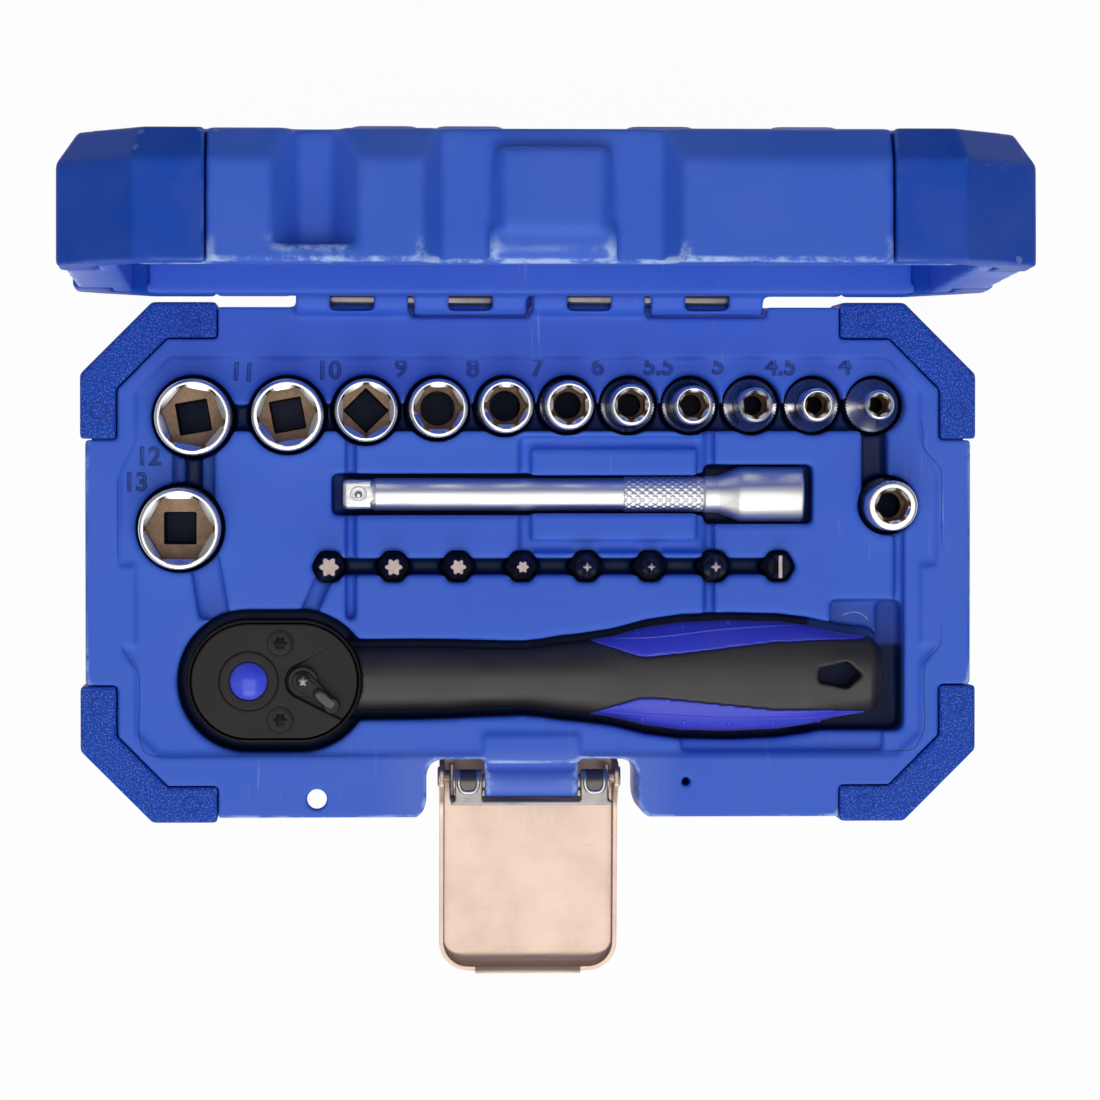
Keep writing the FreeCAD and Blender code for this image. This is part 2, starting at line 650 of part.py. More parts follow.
def extension_pocket():
    """Channel of the extension bar and the recesses round its clip pads."""
    low = "extension_z - extension_end/2 - pocket_room"
    side = "extension_shaft/2 + 2*pocket_room"
    wide = "extension_end/2 + pocket_room"
    clip = ("clip_x - clip_length/2 - clip_border", "clip_x + clip_length/2 + clip_border")
    end_start = "extension_heel - extension_end_length - extension_taper - extension_neck_length"
    return [
        span("shaft_channel", ("extension_tip - 5*pocket_room", "extension_heel"),
             (f"extension_y - ({side})", f"extension_y + {side}"), (low, ABOVE)),
        span("end_channel", (end_start, "extension_heel + 4*pocket_room"),
             (f"extension_y - ({wide})", f"extension_y + {wide}"), (low, ABOVE)),
        span("clip_recess", clip, ("extension_y - clip_reach", "extension_y + clip_reach"),
             ("deck - clip_depth", ABOVE)),
    ]


def clip_pads():
    """Pads whose lips hold the shaft of the extension bar."""
    inner = "extension_knurl/2 + pocket_room/2"
    outer = "clip_reach - clip_border"
    x = ("clip_x - clip_length/2", "clip_x + clip_length/2")
    z = ("deck - clip_depth - pocket_room", "deck")
    return [
        span("clip_pad_back", x, (f"extension_y + {inner}", f"extension_y + {outer}"), z),
        span("clip_pad_front", x, (f"extension_y - ({outer})", f"extension_y - ({inner})"), z),
    ]


def handle_y(x):
    """Axis of the handle, which leans a little towards the back."""
    return f"ratchet_y + handle_lean*(({x}) - head_x)/ratchet_length"


HANDLE_STEPS = 3


def handle_stations():
    """Place along X, width and height of the handle from the head to its end."""
    keys = [
        ("head_end - head_radius/4", "neck_width", "neck_height"),
        ("head_end + neck_length*0.25", "neck_width", "neck_height"),
        ("head_end + neck_length*0.75", "slim_width", "slim_height"),
        ("waist_x", "waist_width", "waist_height"),
        ("full_x", "grip_width", "grip_height"),
        ("full_x + grip_run*0.5", "grip_width + end_round/4", "grip_height + end_round/4"),
        ("fade_x", "grip_width", "grip_height"),
        ("tail_x - end_round", "tail_width", "tail_height"),
        ("tail_x", "tail_width - 2*end_round", "tail_height - 2*end_round"),
    ]
    stations = []
    for first, second in zip(keys, keys[1:]):
        for step in range(HANDLE_STEPS):
            along = step/HANDLE_STEPS
            eased = along*along*(3 - 2*along)
            shares = (along, eased, eased)
            stations.append([f"({a})*{1 - share:.4f} + ({b})*{share:.4f}"
                             for a, b, share in zip(first, second, shares)])
    stations.append(keys[-1])
    return stations


def ratchet_pocket():
    """Pocket that follows the ratchet, with a deeper hole for the square and a thumb recess."""
    head_low = "head_bottom - pocket_room"
    handle_low = "ratchet_z - grip_height/2 - pocket_room"
    drive_low = "head_bottom - drive_length - 2*pocket_room"
    around = "head_radius + head_clear"
    head_depth = f"{ABOVE} - ({head_low})"
    pieces = [
        cylinder("head_pocket", ("head_x", "ratchet_y", head_low), around, head_depth),
        cylinder("head_pocket", ("head_x + head_spacing", "ratchet_y", head_low), around, head_depth),
        span("head_pocket", ("head_x", "head_x + head_spacing"),
             (f"ratchet_y - ({around})", f"ratchet_y + {around}"), (head_low, ABOVE)),
        cylinder("drive_pocket", ("head_x", "ratchet_y", drive_low), "journal_radius",
                 f"rim - ({drive_low})"),
        span("thumb_recess", ("fade_x + tail_length/2", "tail_x + head_room/2"),
             ("ratchet_y", "ratchet_y + head_radius + head_room*1.4"), ("deck - slot_depth", ABOVE)),
    ]
    stations = [(x, f"({width})/2 + handle_clear") for x, width, height in handle_stations()]
    stations.append(("tail_x + handle_clear", "tail_width/2"))
    front = [(x, f"{handle_y(x)} - ({half})") for x, half in stations]
    back = [(x, f"{handle_y(x)} + {half}") for x, half in reversed(stations)]
    pieces.append(prism("handle_pocket", front + back, handle_low, f"{ABOVE} - ({handle_low})"))
    return pieces


def deck_outline():
    """Step line round the tool insert: wider beside the bits than in front and behind."""
    narrow = "half_length - step_inset"
    wide = "half_length - step_side"
    back = "half_width - step_inset"
    front = "-half_width + step_front"
    right = [
        (f"{narrow} - corner_cut/3", front),
        (narrow, f"{front} + corner_cut/3"),
        (narrow, "bits_y - rib_length*1.3"),
        (wide, "bits_y - rib_length"),
        (wide, "extension_y + extension_end/3"),
        (narrow, "extension_y + extension_end"),
        (narrow, f"{back} - corner_cut/2"),
        (f"{narrow} - corner_cut/2", back),
    ]
    return right + [(f"-({x})", y) for x, y in reversed(right)]


LATCH_WALL = "-half_width + latch_recess_depth"
LATCH_PAD_X = ("latch_x - boss_width/2", "latch_x + boss_width/2")
LATCH_PAD_Y = (f"{LATCH_WALL} - sheet", f"{LATCH_WALL} + boss_radius*1.5")


def recess_outline():
    """Recess for the latch in plan: rounded inner corners and flared front corners."""
    side, front = "latch_recess/2", "-half_width"
    half = [
        (f"{side} + recess_corner*0.7", f"{front} - 1"), (f"{side} + recess_corner*0.7", front),
        (f"{side} + recess_corner*0.2", f"{front} + recess_corner*0.5"),
        (side, f"{front} + recess_corner*1.2"),
        (side, f"{LATCH_WALL} - recess_corner"),
        (f"{side} - recess_corner*0.3", f"{LATCH_WALL} - recess_corner*0.3"),
        (f"{side} - recess_corner", LATCH_WALL),
    ]
    right = [(f"latch_x + {x}", y) for x, y in half]
    return right + [(f"latch_x - ({x})", y) for x, y in reversed(half)]


def insert_block(name, top):
    """Room of the tool insert, up to a height; the wall and the pad of the latch stay with the base."""
    keep = [
        span(name + "_latch_wall",
             ("latch_x - latch_recess/2 - latch_wall", "latch_x + latch_recess/2 + latch_wall"),
             ("-half_width", f"{LATCH_WALL} + latch_wall"), (BELOW, "deck")),
        span(name + "_latch_pad", LATCH_PAD_X, LATCH_PAD_Y, ("deck - deck_step", f"{ABOVE} + 1")),
    ]
    whole = prism(name + "_full", deck_outline(), "floor_thickness", f"{top} - floor_thickness")
    return cut(name, whole, keep)


def latch_seat():
    """Boss of the base that holds the latch pin, with the raised pad behind it."""
    start = LATCH_PAD_X[0]
    return [
        cylinder("latch_boss", (start, "latch_pin_y", "latch_pin_z"), "boss_radius", "boss_width", "X"),
        span("latch_boss_root", LATCH_PAD_X, ("latch_pin_y", f"{LATCH_WALL} + latch_wall/2"),
             ("latch_pin_z - boss_radius", "latch_pin_z + boss_radius/2")),
        span("latch_pad", LATCH_PAD_X, LATCH_PAD_Y, ("deck - deck_step", "rim")),
    ]


def flared(middle, floor, flare, wall, depth):
    """Plan of a cut into the front wall whose sides lean outwards; floor is half its inner width."""
    mouth = f"{floor} + {flare}*(1 + 1/({depth}))"
    inner, outer = f"{wall} + {depth}", f"{wall} - 1"
    return [(f"{middle} - ({mouth})", outer), (f"{middle} + {mouth}", outer),
            (f"{middle} + {floor}", inner), (f"{middle} - ({floor})", inner)]


def padlock_cuts(low, high, flute_low, flute_high, shift="0"):
    """Padlock hole through the front flange and the flute beyond it."""
    wall = f"-half_width - ({shift})"
    flute = flared("hang_hole_x", "flute_floor/2", "(flute_mouth - flute_floor)/2", wall, "flute_depth")
    return [
        cylinder("padlock_hole", ("hang_hole_x", f"{wall} + hang_hole_inset", low), "hang_hole_radius",
                 f"{high} - ({low})"),
        prism("padlock_flute", flute, flute_low, f"{flute_high} - ({flute_low})"),
    ]


def make_insert():
    """Insert with the deck and every tool pocket; it fills the base inside the step line."""
    tools = socket_pockets() + finger_slots() + bit_pockets() + extension_pocket() + ratchet_pocket()
    tools.append(span("front_step", ("full_x", "tail_x"),
                      ("ratchet_y - grip_width/2 - head_room*1.2", "ratchet_y"),
                      ("deck - clip_depth", ABOVE)))
    added = clip_pads()
    for side in (-1, 1):
        x = f"{side}*(half_length - step_side - rib_width/2)"
        spot = (x, "bits_y - rib_length/2", "deck - deck_step")
        added.append(block("deck_rib", spot, "rib_width", "rib_length", "2*deck_step"))
    body = cut("insert_pockets", insert_block("insert_body", "deck"), tools)
    node("tool_insert", fuse("tool_insert_solid", [body] + added))


def make_base():
    half = case_half("base_half", "0", "0", "rim", True)
    grown = case_half("base_grown", "-guard_proud", "0", "rim", True)
    guards, notches = guards_and_notches("base_corner", grown, BELOW, ABOVE)
    recess = prism("latch_recess_cut", recess_outline(), BELOW, f"{ABOVE} - ({BELOW})")
    tools = notches + [recess, insert_block("insert_room", ABOVE)]
    tools += [knuckle_clearance(place, "hinge_y", "hinge_z") for place in (1, 3)]
    body = cut("base_walls", half, tools)
    added = latch_seat()
    for place in (0, 2):
        start = knuckle_start(place)
        added.append(cylinder("base_knuckle", (start, "hinge_y", "hinge_z"), "knuckle_radius",
                              "knuckle_length", "X"))
        added.append(span("base_knuckle_root", (start, f"{start} + knuckle_length"),
                          ("half_width - knuckle_root", "hinge_y"), ("hinge_z - knuckle_radius", "rim")))
    body = fuse("base_body", [body] + added)
    holes = padlock_cuts(BELOW, ABOVE, BELOW, "rim - flange_thickness")
    holes.append(cylinder("vent", ("vent_x", "-half_width + vent_inset", "rim - vent_depth"),
                          "vent_radius", "vent_depth + 1"))
    holes.append(cylinder("latch_pin_bore", (LATCH_PIN_START, "latch_pin_y", "latch_pin_z"),
                          "latch_pin_radius", LATCH_PIN_LENGTH, "X"))
    for place in (0, 2):
        holes.append(cylinder("hinge_bore", (pin_start(place), "hinge_y", "hinge_z"), "hinge_pin_radius",
                              PIN_LENGTH, "X"))
        holes.append(span("hinge_window", (f"{knuckle_middle(place)} - hinge_window/2",
                                           f"{knuckle_middle(place)} + hinge_window/2"),
                          ("hinge_y - knuckle_radius*0.75", "hinge_y + knuckle_radius*0.75"),
                          ("hinge_z", "hinge_z + knuckle_radius + 1")))
    node("base_tray", cut("base_tray_solid", body, holes))
    for name, guard in guards.items():
        node("base_corner_" + name, guard)


def pin_start(place):
    """Left end of the hinge pin that starts in the base knuckle at a place."""
    return f"{knuckle_middle(place)} - {PIN_OVERLAP}"


def make_pins():
    for label, place in (("hinge_pin_left", 0), ("hinge_pin_right", 2)):
        spot = (pin_start(place), "hinge_y", "hinge_z")
        node(label, cylinder(label, spot, "hinge_pin_radius", PIN_LENGTH, "X"))
    spot = (LATCH_PIN_START, "latch_pin_y", "latch_pin_z")
    node("latch_pin", cylinder("latch_pin", spot, "latch_pin_radius", LATCH_PIN_LENGTH, "X"))


def swing_lid(piece):
    """Turn a piece of the shut lid, drawn about the hinge axis, to the open pose."""
    piece.Placement = Placement(Vector(), Rotation(Vector(-1, 0, 0), number("lid_open")))
    bind(piece, **{"Placement.Base.y": "hinge_y", "Placement.Base.z": "hinge_z",
                   "Placement.Rotation.Angle": "lid_open*1 deg"})
    return piece


def make_lid():
    half = case_half("lid_half", "0", "lid_low", "lid_top", False, "hinge_y")
    grown = case_half("lid_grown", "-guard_proud", "lid_low", "lid_top", False, "hinge_y")
    guards, notches = guards_and_notches("lid_corner", grown, "lid_low - 1", "lid_top + 1", "hinge_y")
    front = "-half_width - hinge_y"
    cavity_half = "half_length - lid_wall"
    cavity = span("lid_cavity", (f"-({cavity_half})", cavity_half),
                  (f"{front} + lid_wall", "half_width - lid_wall - hinge_y"),
                  ("lid_low - 1", "lid_top - lid_skin"))
    floor = "(latch_recess/2 - catch_flare/3)"
    recess = prism("catch_recess_cut", flared("latch_x", floor, "catch_flare", front, "catch_recess"),
                   "lid_low - 1", "lid_height + 2")
    tools = notches + [cavity, recess]
    tools += [knuckle_clearance(place, "0", "0") for place in (0, 2)]
    body = cut("lid_hollow", half, tools)
    added = catch_block(f"{front} + catch_recess")
    for place in (1, 3):
        start = knuckle_start(place)
        added.append(cylinder("lid_knuckle", (start, "0", "0"), "knuckle_radius", "knuckle_length", "X"))
        added.append(span("lid_knuckle_root", (start, f"{start} + knuckle_length"),
                          ("-hinge_setback - knuckle_root", "0"), ("lid_low", "knuckle_radius")))
    for x in ("-2.5*lid_rib_width", "-1.2*lid_rib_width", "1.7*lid_rib_width", "3.9*lid_rib_width"):
        added.append(block("lid_rib", (x, "-hinge_y", "lid_top - lid_skin/2"), "lid_rib_width",
                           "2*half_width - 2*lid_wall", "lid_skin/2 + lid_rib_height"))
    body = fuse("lid_body", [body] + added)
    flute_low = "lid_low + flange_thickness"
    holes = padlock_cuts("lid_low - 1", "lid_top", flute_low, "lid_top + 1", "hinge_y")
    for place in (1, 3):
        holes.append(cylinder("lid_hinge_bore", (f"{pin_start(place - 1)} - 1", "0", "0"),
                              "hinge_pin_radius + pin_play", f"{PIN_LENGTH} + 2", "X"))
        holes.append(span("lid_hinge_window", (f"{knuckle_middle(place)} - hinge_window/2",
                                               f"{knuckle_middle(place)} + hinge_window/2"),
                          ("-knuckle_radius - 1", "0"), ("-knuckle_radius*0.75", "knuckle_radius*0.75")))
    node("lid_shell", swing_lid(cut("lid_shell_solid", body, holes)))
    for name, guard in guards.items():
        node("lid_corner_" + name, swing_lid(guard))


def catch_block(floor):
    """Catch of the lid on the floor of its recess: a tapered block with leaning sides on a stepped foot."""
    front = "latch_pivot_y - lever_drop + catch_play - hinge_y"
    low = "lid_low + bevel_height"
    half = "catch_width/2 + catch_taper"
    sketch = outline("catch_outline", [
        (f"latch_x - ({half})", low), (f"latch_x + {half}", low),
        ("latch_x + catch_width/2 - catch_taper", "catch_top"),
        ("latch_x - catch_width/2 + catch_taper", "catch_top"),
    ])
    put(sketch, ("0", f"{floor} + 1", "0"), Rotation(Vector(1, 0, 0), 90))
    raised = DOCUMENT.addObject("Part::Extrusion", "catch_raised")
    bind(raised, LengthFwd=f"{floor} + 1 - ({front})")
    raised.Base = sketch
    raised.DirMode = "Normal"
    raised.Solid = True
    narrow = f"({half} - catch_bevel)"
    sides = prism("catch_sides", [
        (f"latch_x - ({half})", f"{floor} + 2"), (f"latch_x + {half}", f"{floor} + 2"),
        (f"latch_x + {half}", floor), (f"latch_x + {narrow}", front),
        (f"latch_x - {narrow}", front), (f"latch_x - ({half})", floor),
    ], "lid_low", "lid_height")
    foot = prism("catch_foot", [
        (f"{floor} + 1", "lid_low"), (f"{floor} - catch_step/3", "lid_low"),
        (f"{floor} - catch_step", f"({low})/2"), (f"{floor} - catch_step", f"{low} + catch_taper"),
        (f"{floor} + 1", f"{low} + catch_taper"),
    ], f"latch_x - ({half})", f"2*({half})", "X")
    return [common("catch_block", raised, sides), foot]


def make_latch():
    """Link on the latch pin, lever on the link, and the two rivets between them."""
    web_back = "latch_pin_y - link_reach"
    ear = "lever_width/2 - sheet - link_play"
    loop = "latch_pin_radius + pin_play + sheet"
    strap_low = "latch_pin_z + latch_pin_radius + pin_play"
    web_low = "latch_pivot_z - rivet_radius/2"
    boss = "rivet_radius*2"
    web = span("link_web", (f"latch_x - ({ear})", f"latch_x + {ear}"), (f"{web_back} - sheet", web_back),
               (web_low, f"{strap_low} + sheet"))
    pieces = [web]
    holes = []
    for side in (-1, 1):
        inner = f"latch_x + {side}*(boss_width/2 + link_play + loop_width/2)"
        start = f"{inner} - loop_width/2"
        pieces.append(cylinder("link_loop", (start, "latch_pin_y", "latch_pin_z"), loop, "loop_width", "X"))
        pieces.append(span("link_strap", (start, f"{start} + loop_width"),
                           (f"{web_back} - sheet", "latch_pin_y"), (strap_low, f"{strap_low} + sheet")))
        x = f"latch_x + {side}*({ear} - sheet/2)"
        pieces.append(prism("link_ear", [
            (f"{web_back} - sheet", web_low), ("latch_pivot_y - rivet_radius", f"latch_pivot_z - {boss}"),
            (f"latch_pivot_y + {boss}", f"latch_pivot_z - {boss}"),
            (f"latch_pivot_y + {boss}", f"latch_pivot_z + {boss}"),
            (f"{web_back} - sheet", f"latch_pivot_z + {boss}"),
        ], f"{x} - sheet/2", "sheet", along="X"))
    holes.append(cylinder("link_pin_bore", (LATCH_PIN_START, "latch_pin_y", "latch_pin_z"),
                          "latch_pin_radius + pin_play", LATCH_PIN_LENGTH, "X"))
    holes.append(cylinder("link_rivet_bore", ("latch_x - lever_width", "latch_pivot_y", "latch_pivot_z"),
                          "rivet_radius", "2*lever_width", "X"))
    node("latch_link", cut("latch_link_solid", fuse("link_body", pieces), holes))
    rivets = []
    shaft = "lever_width/2 + link_play/2"
    for side in (-1, 1):
        inner = f"{ear} - sheet"
        start = inner if side > 0 else f"-({shaft})"
        rivets.append(cylinder("rivet", (f"latch_x + {start}", "latch_pivot_y", "latch_pivot_z"),
                               "rivet_radius", f"{shaft} - ({inner})", "X"))
        start = shaft if side > 0 else f"-({shaft}) - sheet"
        rivets.append(cylinder("rivet_head", (f"latch_x + {start}", "latch_pivot_y", "latch_pivot_z"),
                               "rivet_radius*1.5", "sheet", "X"))
    node("latch_rivets", fuse("latch_rivets_solid", rivets))
    make_latch_lever()


def make_latch_lever():
    """Lever drawn level about its pivot, then leant to its open pose."""
    low = "-lever_drop - sheet"
    half = "lever_width/2"
    far = "-lever_length - sheet"
    corner = "flange_height*2"
    steps = [math.radians(angle) for angle in (0, 22.5, 45, 67.5, 90)]
    curve = [(f"{half} - {corner}*{1 - math.cos(step):.4f}", f"{far} + {corner}*{1 - math.sin(step):.4f}")
             for step in steps]
    right = [(half, "lever_tail")] + curve
    plate = prism("lever_plate", right + [(f"-({x})", y) for x, y in reversed(right)], low, "sheet")
    hook = block("hook", ("0", f"{far} + sheet/2", low), "hook_width", "sheet", "sheet + hook_height")
    pieces = [plate, hook]
    for side in (-1, 1):
        flange = [
            ("lever_tail", low), ("lever_tail", "rivet_radius"), ("lever_tail/2", "rivet_radius*2"),
            ("-lever_tail/2", "rivet_radius*2"), ("-2*lever_tail", "-lever_drop + flange_height"),
            (f"{far} + {corner} + flange_height", "-lever_drop + flange_height"), (f"{far} + {corner}", low),
        ]
        start = f"{half} - sheet" if side > 0 else f"-({half})"
        pieces.append(prism("lever_flange", flange, start, "sheet", along="X"))
    bore = cylinder("lever_bore", ("-lever_width", "0", "0"), "rivet_radius + pin_play", "2*lever_width", "X")
    lever = cut("latch_lever_solid", fuse("lever_body", pieces), [bore])
    lever.Placement = Placement(Vector(), Rotation(Vector(1, 0, 0), number("lever_slope")))
    bind(lever, **{"Placement.Base.x": "latch_x", "Placement.Base.y": "latch_pivot_y",
                   "Placement.Base.z": "latch_pivot_z", "Placement.Rotation.Angle": "lever_slope*1 deg"})
    node("latch_lever", lever)


# The ratchet
LEVER_X = "head_x + lever_pivot"
SWING_HALF_ANGLE = math.radians(30)


def stadium(name, radius, low, height):
    """Round-ended prism of the ratchet head."""
    x = ("head_x", "head_x + head_spacing")
    y = (f"ratchet_y - ({radius})", f"ratchet_y + {radius}")
    ends = [cylinder(name, (end, "ratchet_y", low), radius, height) for end in x]
    return fuse(name, ends + [span(name, x, y, (low, f"{low} + {height}"))])


def screw_spots():
    return [("head_x + screw_x", f"ratchet_y + {side}*screw_y") for side in (-1, 1)]


def make_ratchet_body():
    head = stadium("head_block", "head_radius", "head_bottom", "head_height")
    tang = cylinder("tang", ("head_end - head_radius", handle_y("head_end"), "ratchet_z"), "tang_radius",
                    "head_radius + neck_length + grip_rise", "X")
    body = fuse("head_and_tang", [head, tang])
    floor = "head_bottom + gear_wall"
    holes = [
        cylinder("gear_chamber", ("head_x", "ratchet_y", floor), "gear_radius + gear_room", "head_height"),
        cylinder("pawl_chamber", (LEVER_X, "ratchet_y", floor), "pawl_room", "head_height"),
        cylinder("journal_hole", ("head_x", "ratchet_y", "head_bottom - 1"), "journal_radius + pin_play",
                 "head_height"),
        stadium("cover_seat", "head_radius - cover_inset", "head_top - cover_height", "head_height"),
        cylinder("plunger_bore", (LEVER_X, "ratchet_y", "gear_middle"), "plunger_radius + pin_play",
                 "pawl_back + gear_room + plunger_length + spring_length", "X"),
    ]
    for x, y in screw_spots():
        holes.append(cylinder("screw_hole", (x, y, "head_top - cover_height - screw_length"), "screw_radius",
                              "head_height"))
    node("ratchet_body", cut("ratchet_body_solid", body, holes))


def make_cover():
    plate = stadium("cover_plate", "head_radius - cover_inset - guard_gap", "head_top - cover_height",
                    "cover_height")
    hub = "(lever_disc_radius + pocket_room)"
    reach = "(thumb_length + 2*thumb_width)"
    across, along = math.sin(SWING_HALF_ANGLE), math.cos(SWING_HALF_ANGLE)
    swing = [(f"{LEVER_X} - {hub}*{across:.4f}", f"{hub}*{along:.4f}"),
             (f"{LEVER_X} + {reach}*{along:.4f}", f"{hub}*{along:.4f} + {reach}*{across:.4f}")]
    front = [(x, f"ratchet_y - ({y})") for x, y in swing]
    back = [(x, f"ratchet_y + {y}") for x, y in reversed(swing)]
    holes = [
        cylinder("cover_drive_hole", ("head_x", "ratchet_y", "head_bottom"), "journal_radius + pin_play",
                 "2*head_height"),
        cylinder("cover_lever_hole", (LEVER_X, "ratchet_y", "head_bottom"),
                 "lever_shaft_radius + pin_play", "2*head_height"),
        cylinder("hub_recess", (LEVER_X, "ratchet_y", "head_top - cover_height/2"),
                 "lever_disc_radius + pocket_room", "cover_height"),
        prism("swing_recess", front + back, "head_top - cover_height/2", "cover_height"),
    ]
    screws = []
    for x, y in screw_spots():
        holes.append(cylinder("cover_screw_hole", (x, y, "head_bottom"), "screw_radius", "2*head_height"))
        holes.append(cylinder("cover_screw_seat", (x, y, "head_top - cover_height/2"), "screw_head_radius",
                              "cover_height"))
        shank = cylinder("screw_shank", (x, y, "head_top - cover_height - screw_length"), "screw_radius",
                         "screw_length + cover_height")
        head = cylinder("screw_head", (x, y, "head_top - cover_height/2"), "screw_head_radius",
                        "cover_height/2")
        lobes = star("screw_lobes", (x, y, "head_top - cover_height/3"), "screw_head_radius*1.2",
                     "cover_height")
        screws.append(cut("cover_screw", fuse("screw_blank", [shank, head]), [lobes]))
    node("ratchet_cover", cut("ratchet_cover_solid", plate, holes))
    node("cover_screws", fuse("cover_screws_solid", screws))


def make_drive():
    """Toothed wheel with its journals and square, and the button, spring and ball inside it."""
    low = "head_bottom + gear_wall + gear_room/2"
    teeth = [hexagon("gear_teeth", ("head_x", "ratchet_y", low), "gear_radius*sqrt(3)", "gear_height", turn)
             for turn in range(0, 60, 10)]
    square_low = "head_bottom - drive_length"
    solids = teeth + [
        cylinder("gear_journal", ("head_x", "ratchet_y", "head_bottom"), "journal_radius", "head_height"),
        block("gear_square", ("head_x", "ratchet_y", square_low), "drive_square", "drive_square",
              "drive_length + 1"),
    ]
    ball_z = f"{square_low} + drive_length/2"
    recess_low = "head_top - button_skirt - button_travel - spring_length"
    holes = [
        cylinder("button_recess", ("head_x", "ratchet_y", recess_low), "button_radius + pin_play",
                 "head_height"),
        cylinder("stem_bore", ("head_x", "ratchet_y", f"{square_low} + drive_square/5"),
                 "stem_radius + pin_play", "2*head_height"),
        cylinder("ball_bore", ("head_x", "ratchet_y", ball_z), "ball_radius + pin_play", "drive_square", "X"),
    ]
    node("drive_gear", cut("drive_gear_solid", fuse("drive_blank", solids), holes))
    spot = ("head_x + drive_square/2 + ball_proud - ball_radius", "ratchet_y", ball_z)
    node("drive_ball", sphere("drive_ball", spot, "ball_radius"))
    make_button(ball_z, recess_low)


def make_button(ball_z, recess_low):
    dome = "(button_radius*button_radius + button_proud*button_proud)/(2*button_proud)"
    skirt_low = "head_top - button_skirt"
    skirt = cylinder("button_skirt", ("head_x", "ratchet_y", skirt_low), "button_radius",
                     "button_skirt + button_proud + 1")
    ball = sphere("button_dome", ("head_x", "ratchet_y", f"head_top + button_proud - {dome}"), dome)
    cap = common("button_cap", skirt, ball)
    thin = "stem_radius - ball_proud - pin_play"
    stem = [
        cylinder("stem_tip", ("head_x", "ratchet_y", f"{ball_z} - button_travel/2"), "stem_radius",
                 "button_travel/2"),
        cone("stem_cone", ("head_x", "ratchet_y", ball_z), "stem_radius", thin, "button_travel"),
        cylinder("stem_rod", ("head_x", "ratchet_y", f"{ball_z} + button_travel"), thin,
                 f"{skirt_low} - ({ball_z}) - button_travel + button_skirt/2"),
    ]
    node("release_button", fuse("release_button_solid", [cap] + stem))
    tube = cylinder("release_spring_outer", ("head_x", "ratchet_y", f"{recess_low} + pin_play"),
                    "button_radius - gear_room", f"{skirt_low} - ({recess_low}) - 2*pin_play")
    bore = cylinder("release_spring_bore", ("head_x", "ratchet_y", recess_low), "button_radius - 3*gear_room",
                    "head_height")
    node("release_spring", cut("release_spring_solid", tube, [bore]))


def make_reverse():
    """Reverse lever with its shaft, the pawl on that shaft, and the plunger behind the pawl."""
    x = LEVER_X
    hub_low = "head_top - cover_height/2 + pin_play"
    shaft_low = "head_bottom + gear_wall + gear_room/2"
    hub = cylinder("lever_hub", ("0", "0", hub_low), "lever_disc_radius", "cover_height")
    shaft = cylinder("lever_shaft", ("0", "0", shaft_low), "lever_shaft_radius", f"{hub_low} - ({shaft_low})")
    tab = span("lever_tab", ("0", "thumb_length"), ("-thumb_width/2", "thumb_width/2"),
               (f"{hub_low} + cover_height/3", f"{hub_low} + thumb_height"))
    tip = cylinder("lever_tip", ("thumb_length - thumb_width/2", "0", f"{hub_low} + cover_height/3"),
                   "thumb_width*0.7", "thumb_height")
    lever = fuse("reverse_lever_solid", [hub, shaft, tab, tip])
    lever.Placement = Placement(Vector(), Rotation(Vector(0, 0, 1), -number("lever_swing") / 2))
    bind(lever, **{"Placement.Base.x": x, "Placement.Base.y": "ratchet_y",
                   "Placement.Rotation.Angle": "-lever_swing/2*1 deg"})
    node("reverse_lever", lever)
    pawl_low = "head_bottom + gear_wall + gear_room/2"
    reach = "lever_pivot - gear_radius - gear_room"
    blank = block("pawl_blank", (f"({reach})*(-0.5) + pawl_back/2", "0", pawl_low), f"{reach} + pawl_back",
                  "pawl_width", "gear_height")
    height = "2*head_height + deck"
    hollow = cylinder("pawl_face", ("-lever_pivot", "0", "0"), "gear_radius + 2*gear_room", height)
    bore = cylinder("pawl_bore", ("0", "0", "0"), "lever_shaft_radius + pin_play", height)
    pawl = cut("pawl_solid", blank, [hollow, bore])
    put(pawl, (x, "ratchet_y", "0"))
    node("pawl", pawl)
    start = f"{x} + pawl_back + gear_room"
    node("pawl_plunger", cylinder("pawl_plunger", (start, "ratchet_y", "gear_middle"), "plunger_radius",
                                  "plunger_length", "X"))
    spring_start = f"{start} + plunger_length"
    spot = (spring_start, "ratchet_y", "gear_middle")
    tube = cylinder("pawl_spring_outer", spot, "plunger_radius", "spring_length", "X")
    core = cylinder("pawl_spring_bore", spot, "plunger_radius/2", "spring_length", "X")
    node("pawl_spring", cut("pawl_spring_solid", tube, [core]))


def handle_station(x, width, height):
    """Oval section of the handle at a place along it."""
    section = DOCUMENT.addObject("Part::Ellipse", "handle_section")
    bind(section, MajorRadius=f"({width})/2", MinorRadius=f"({height})/2")
    return put(section, (x, handle_y(x), "ratchet_z"), PROFILE_ALONG_X)


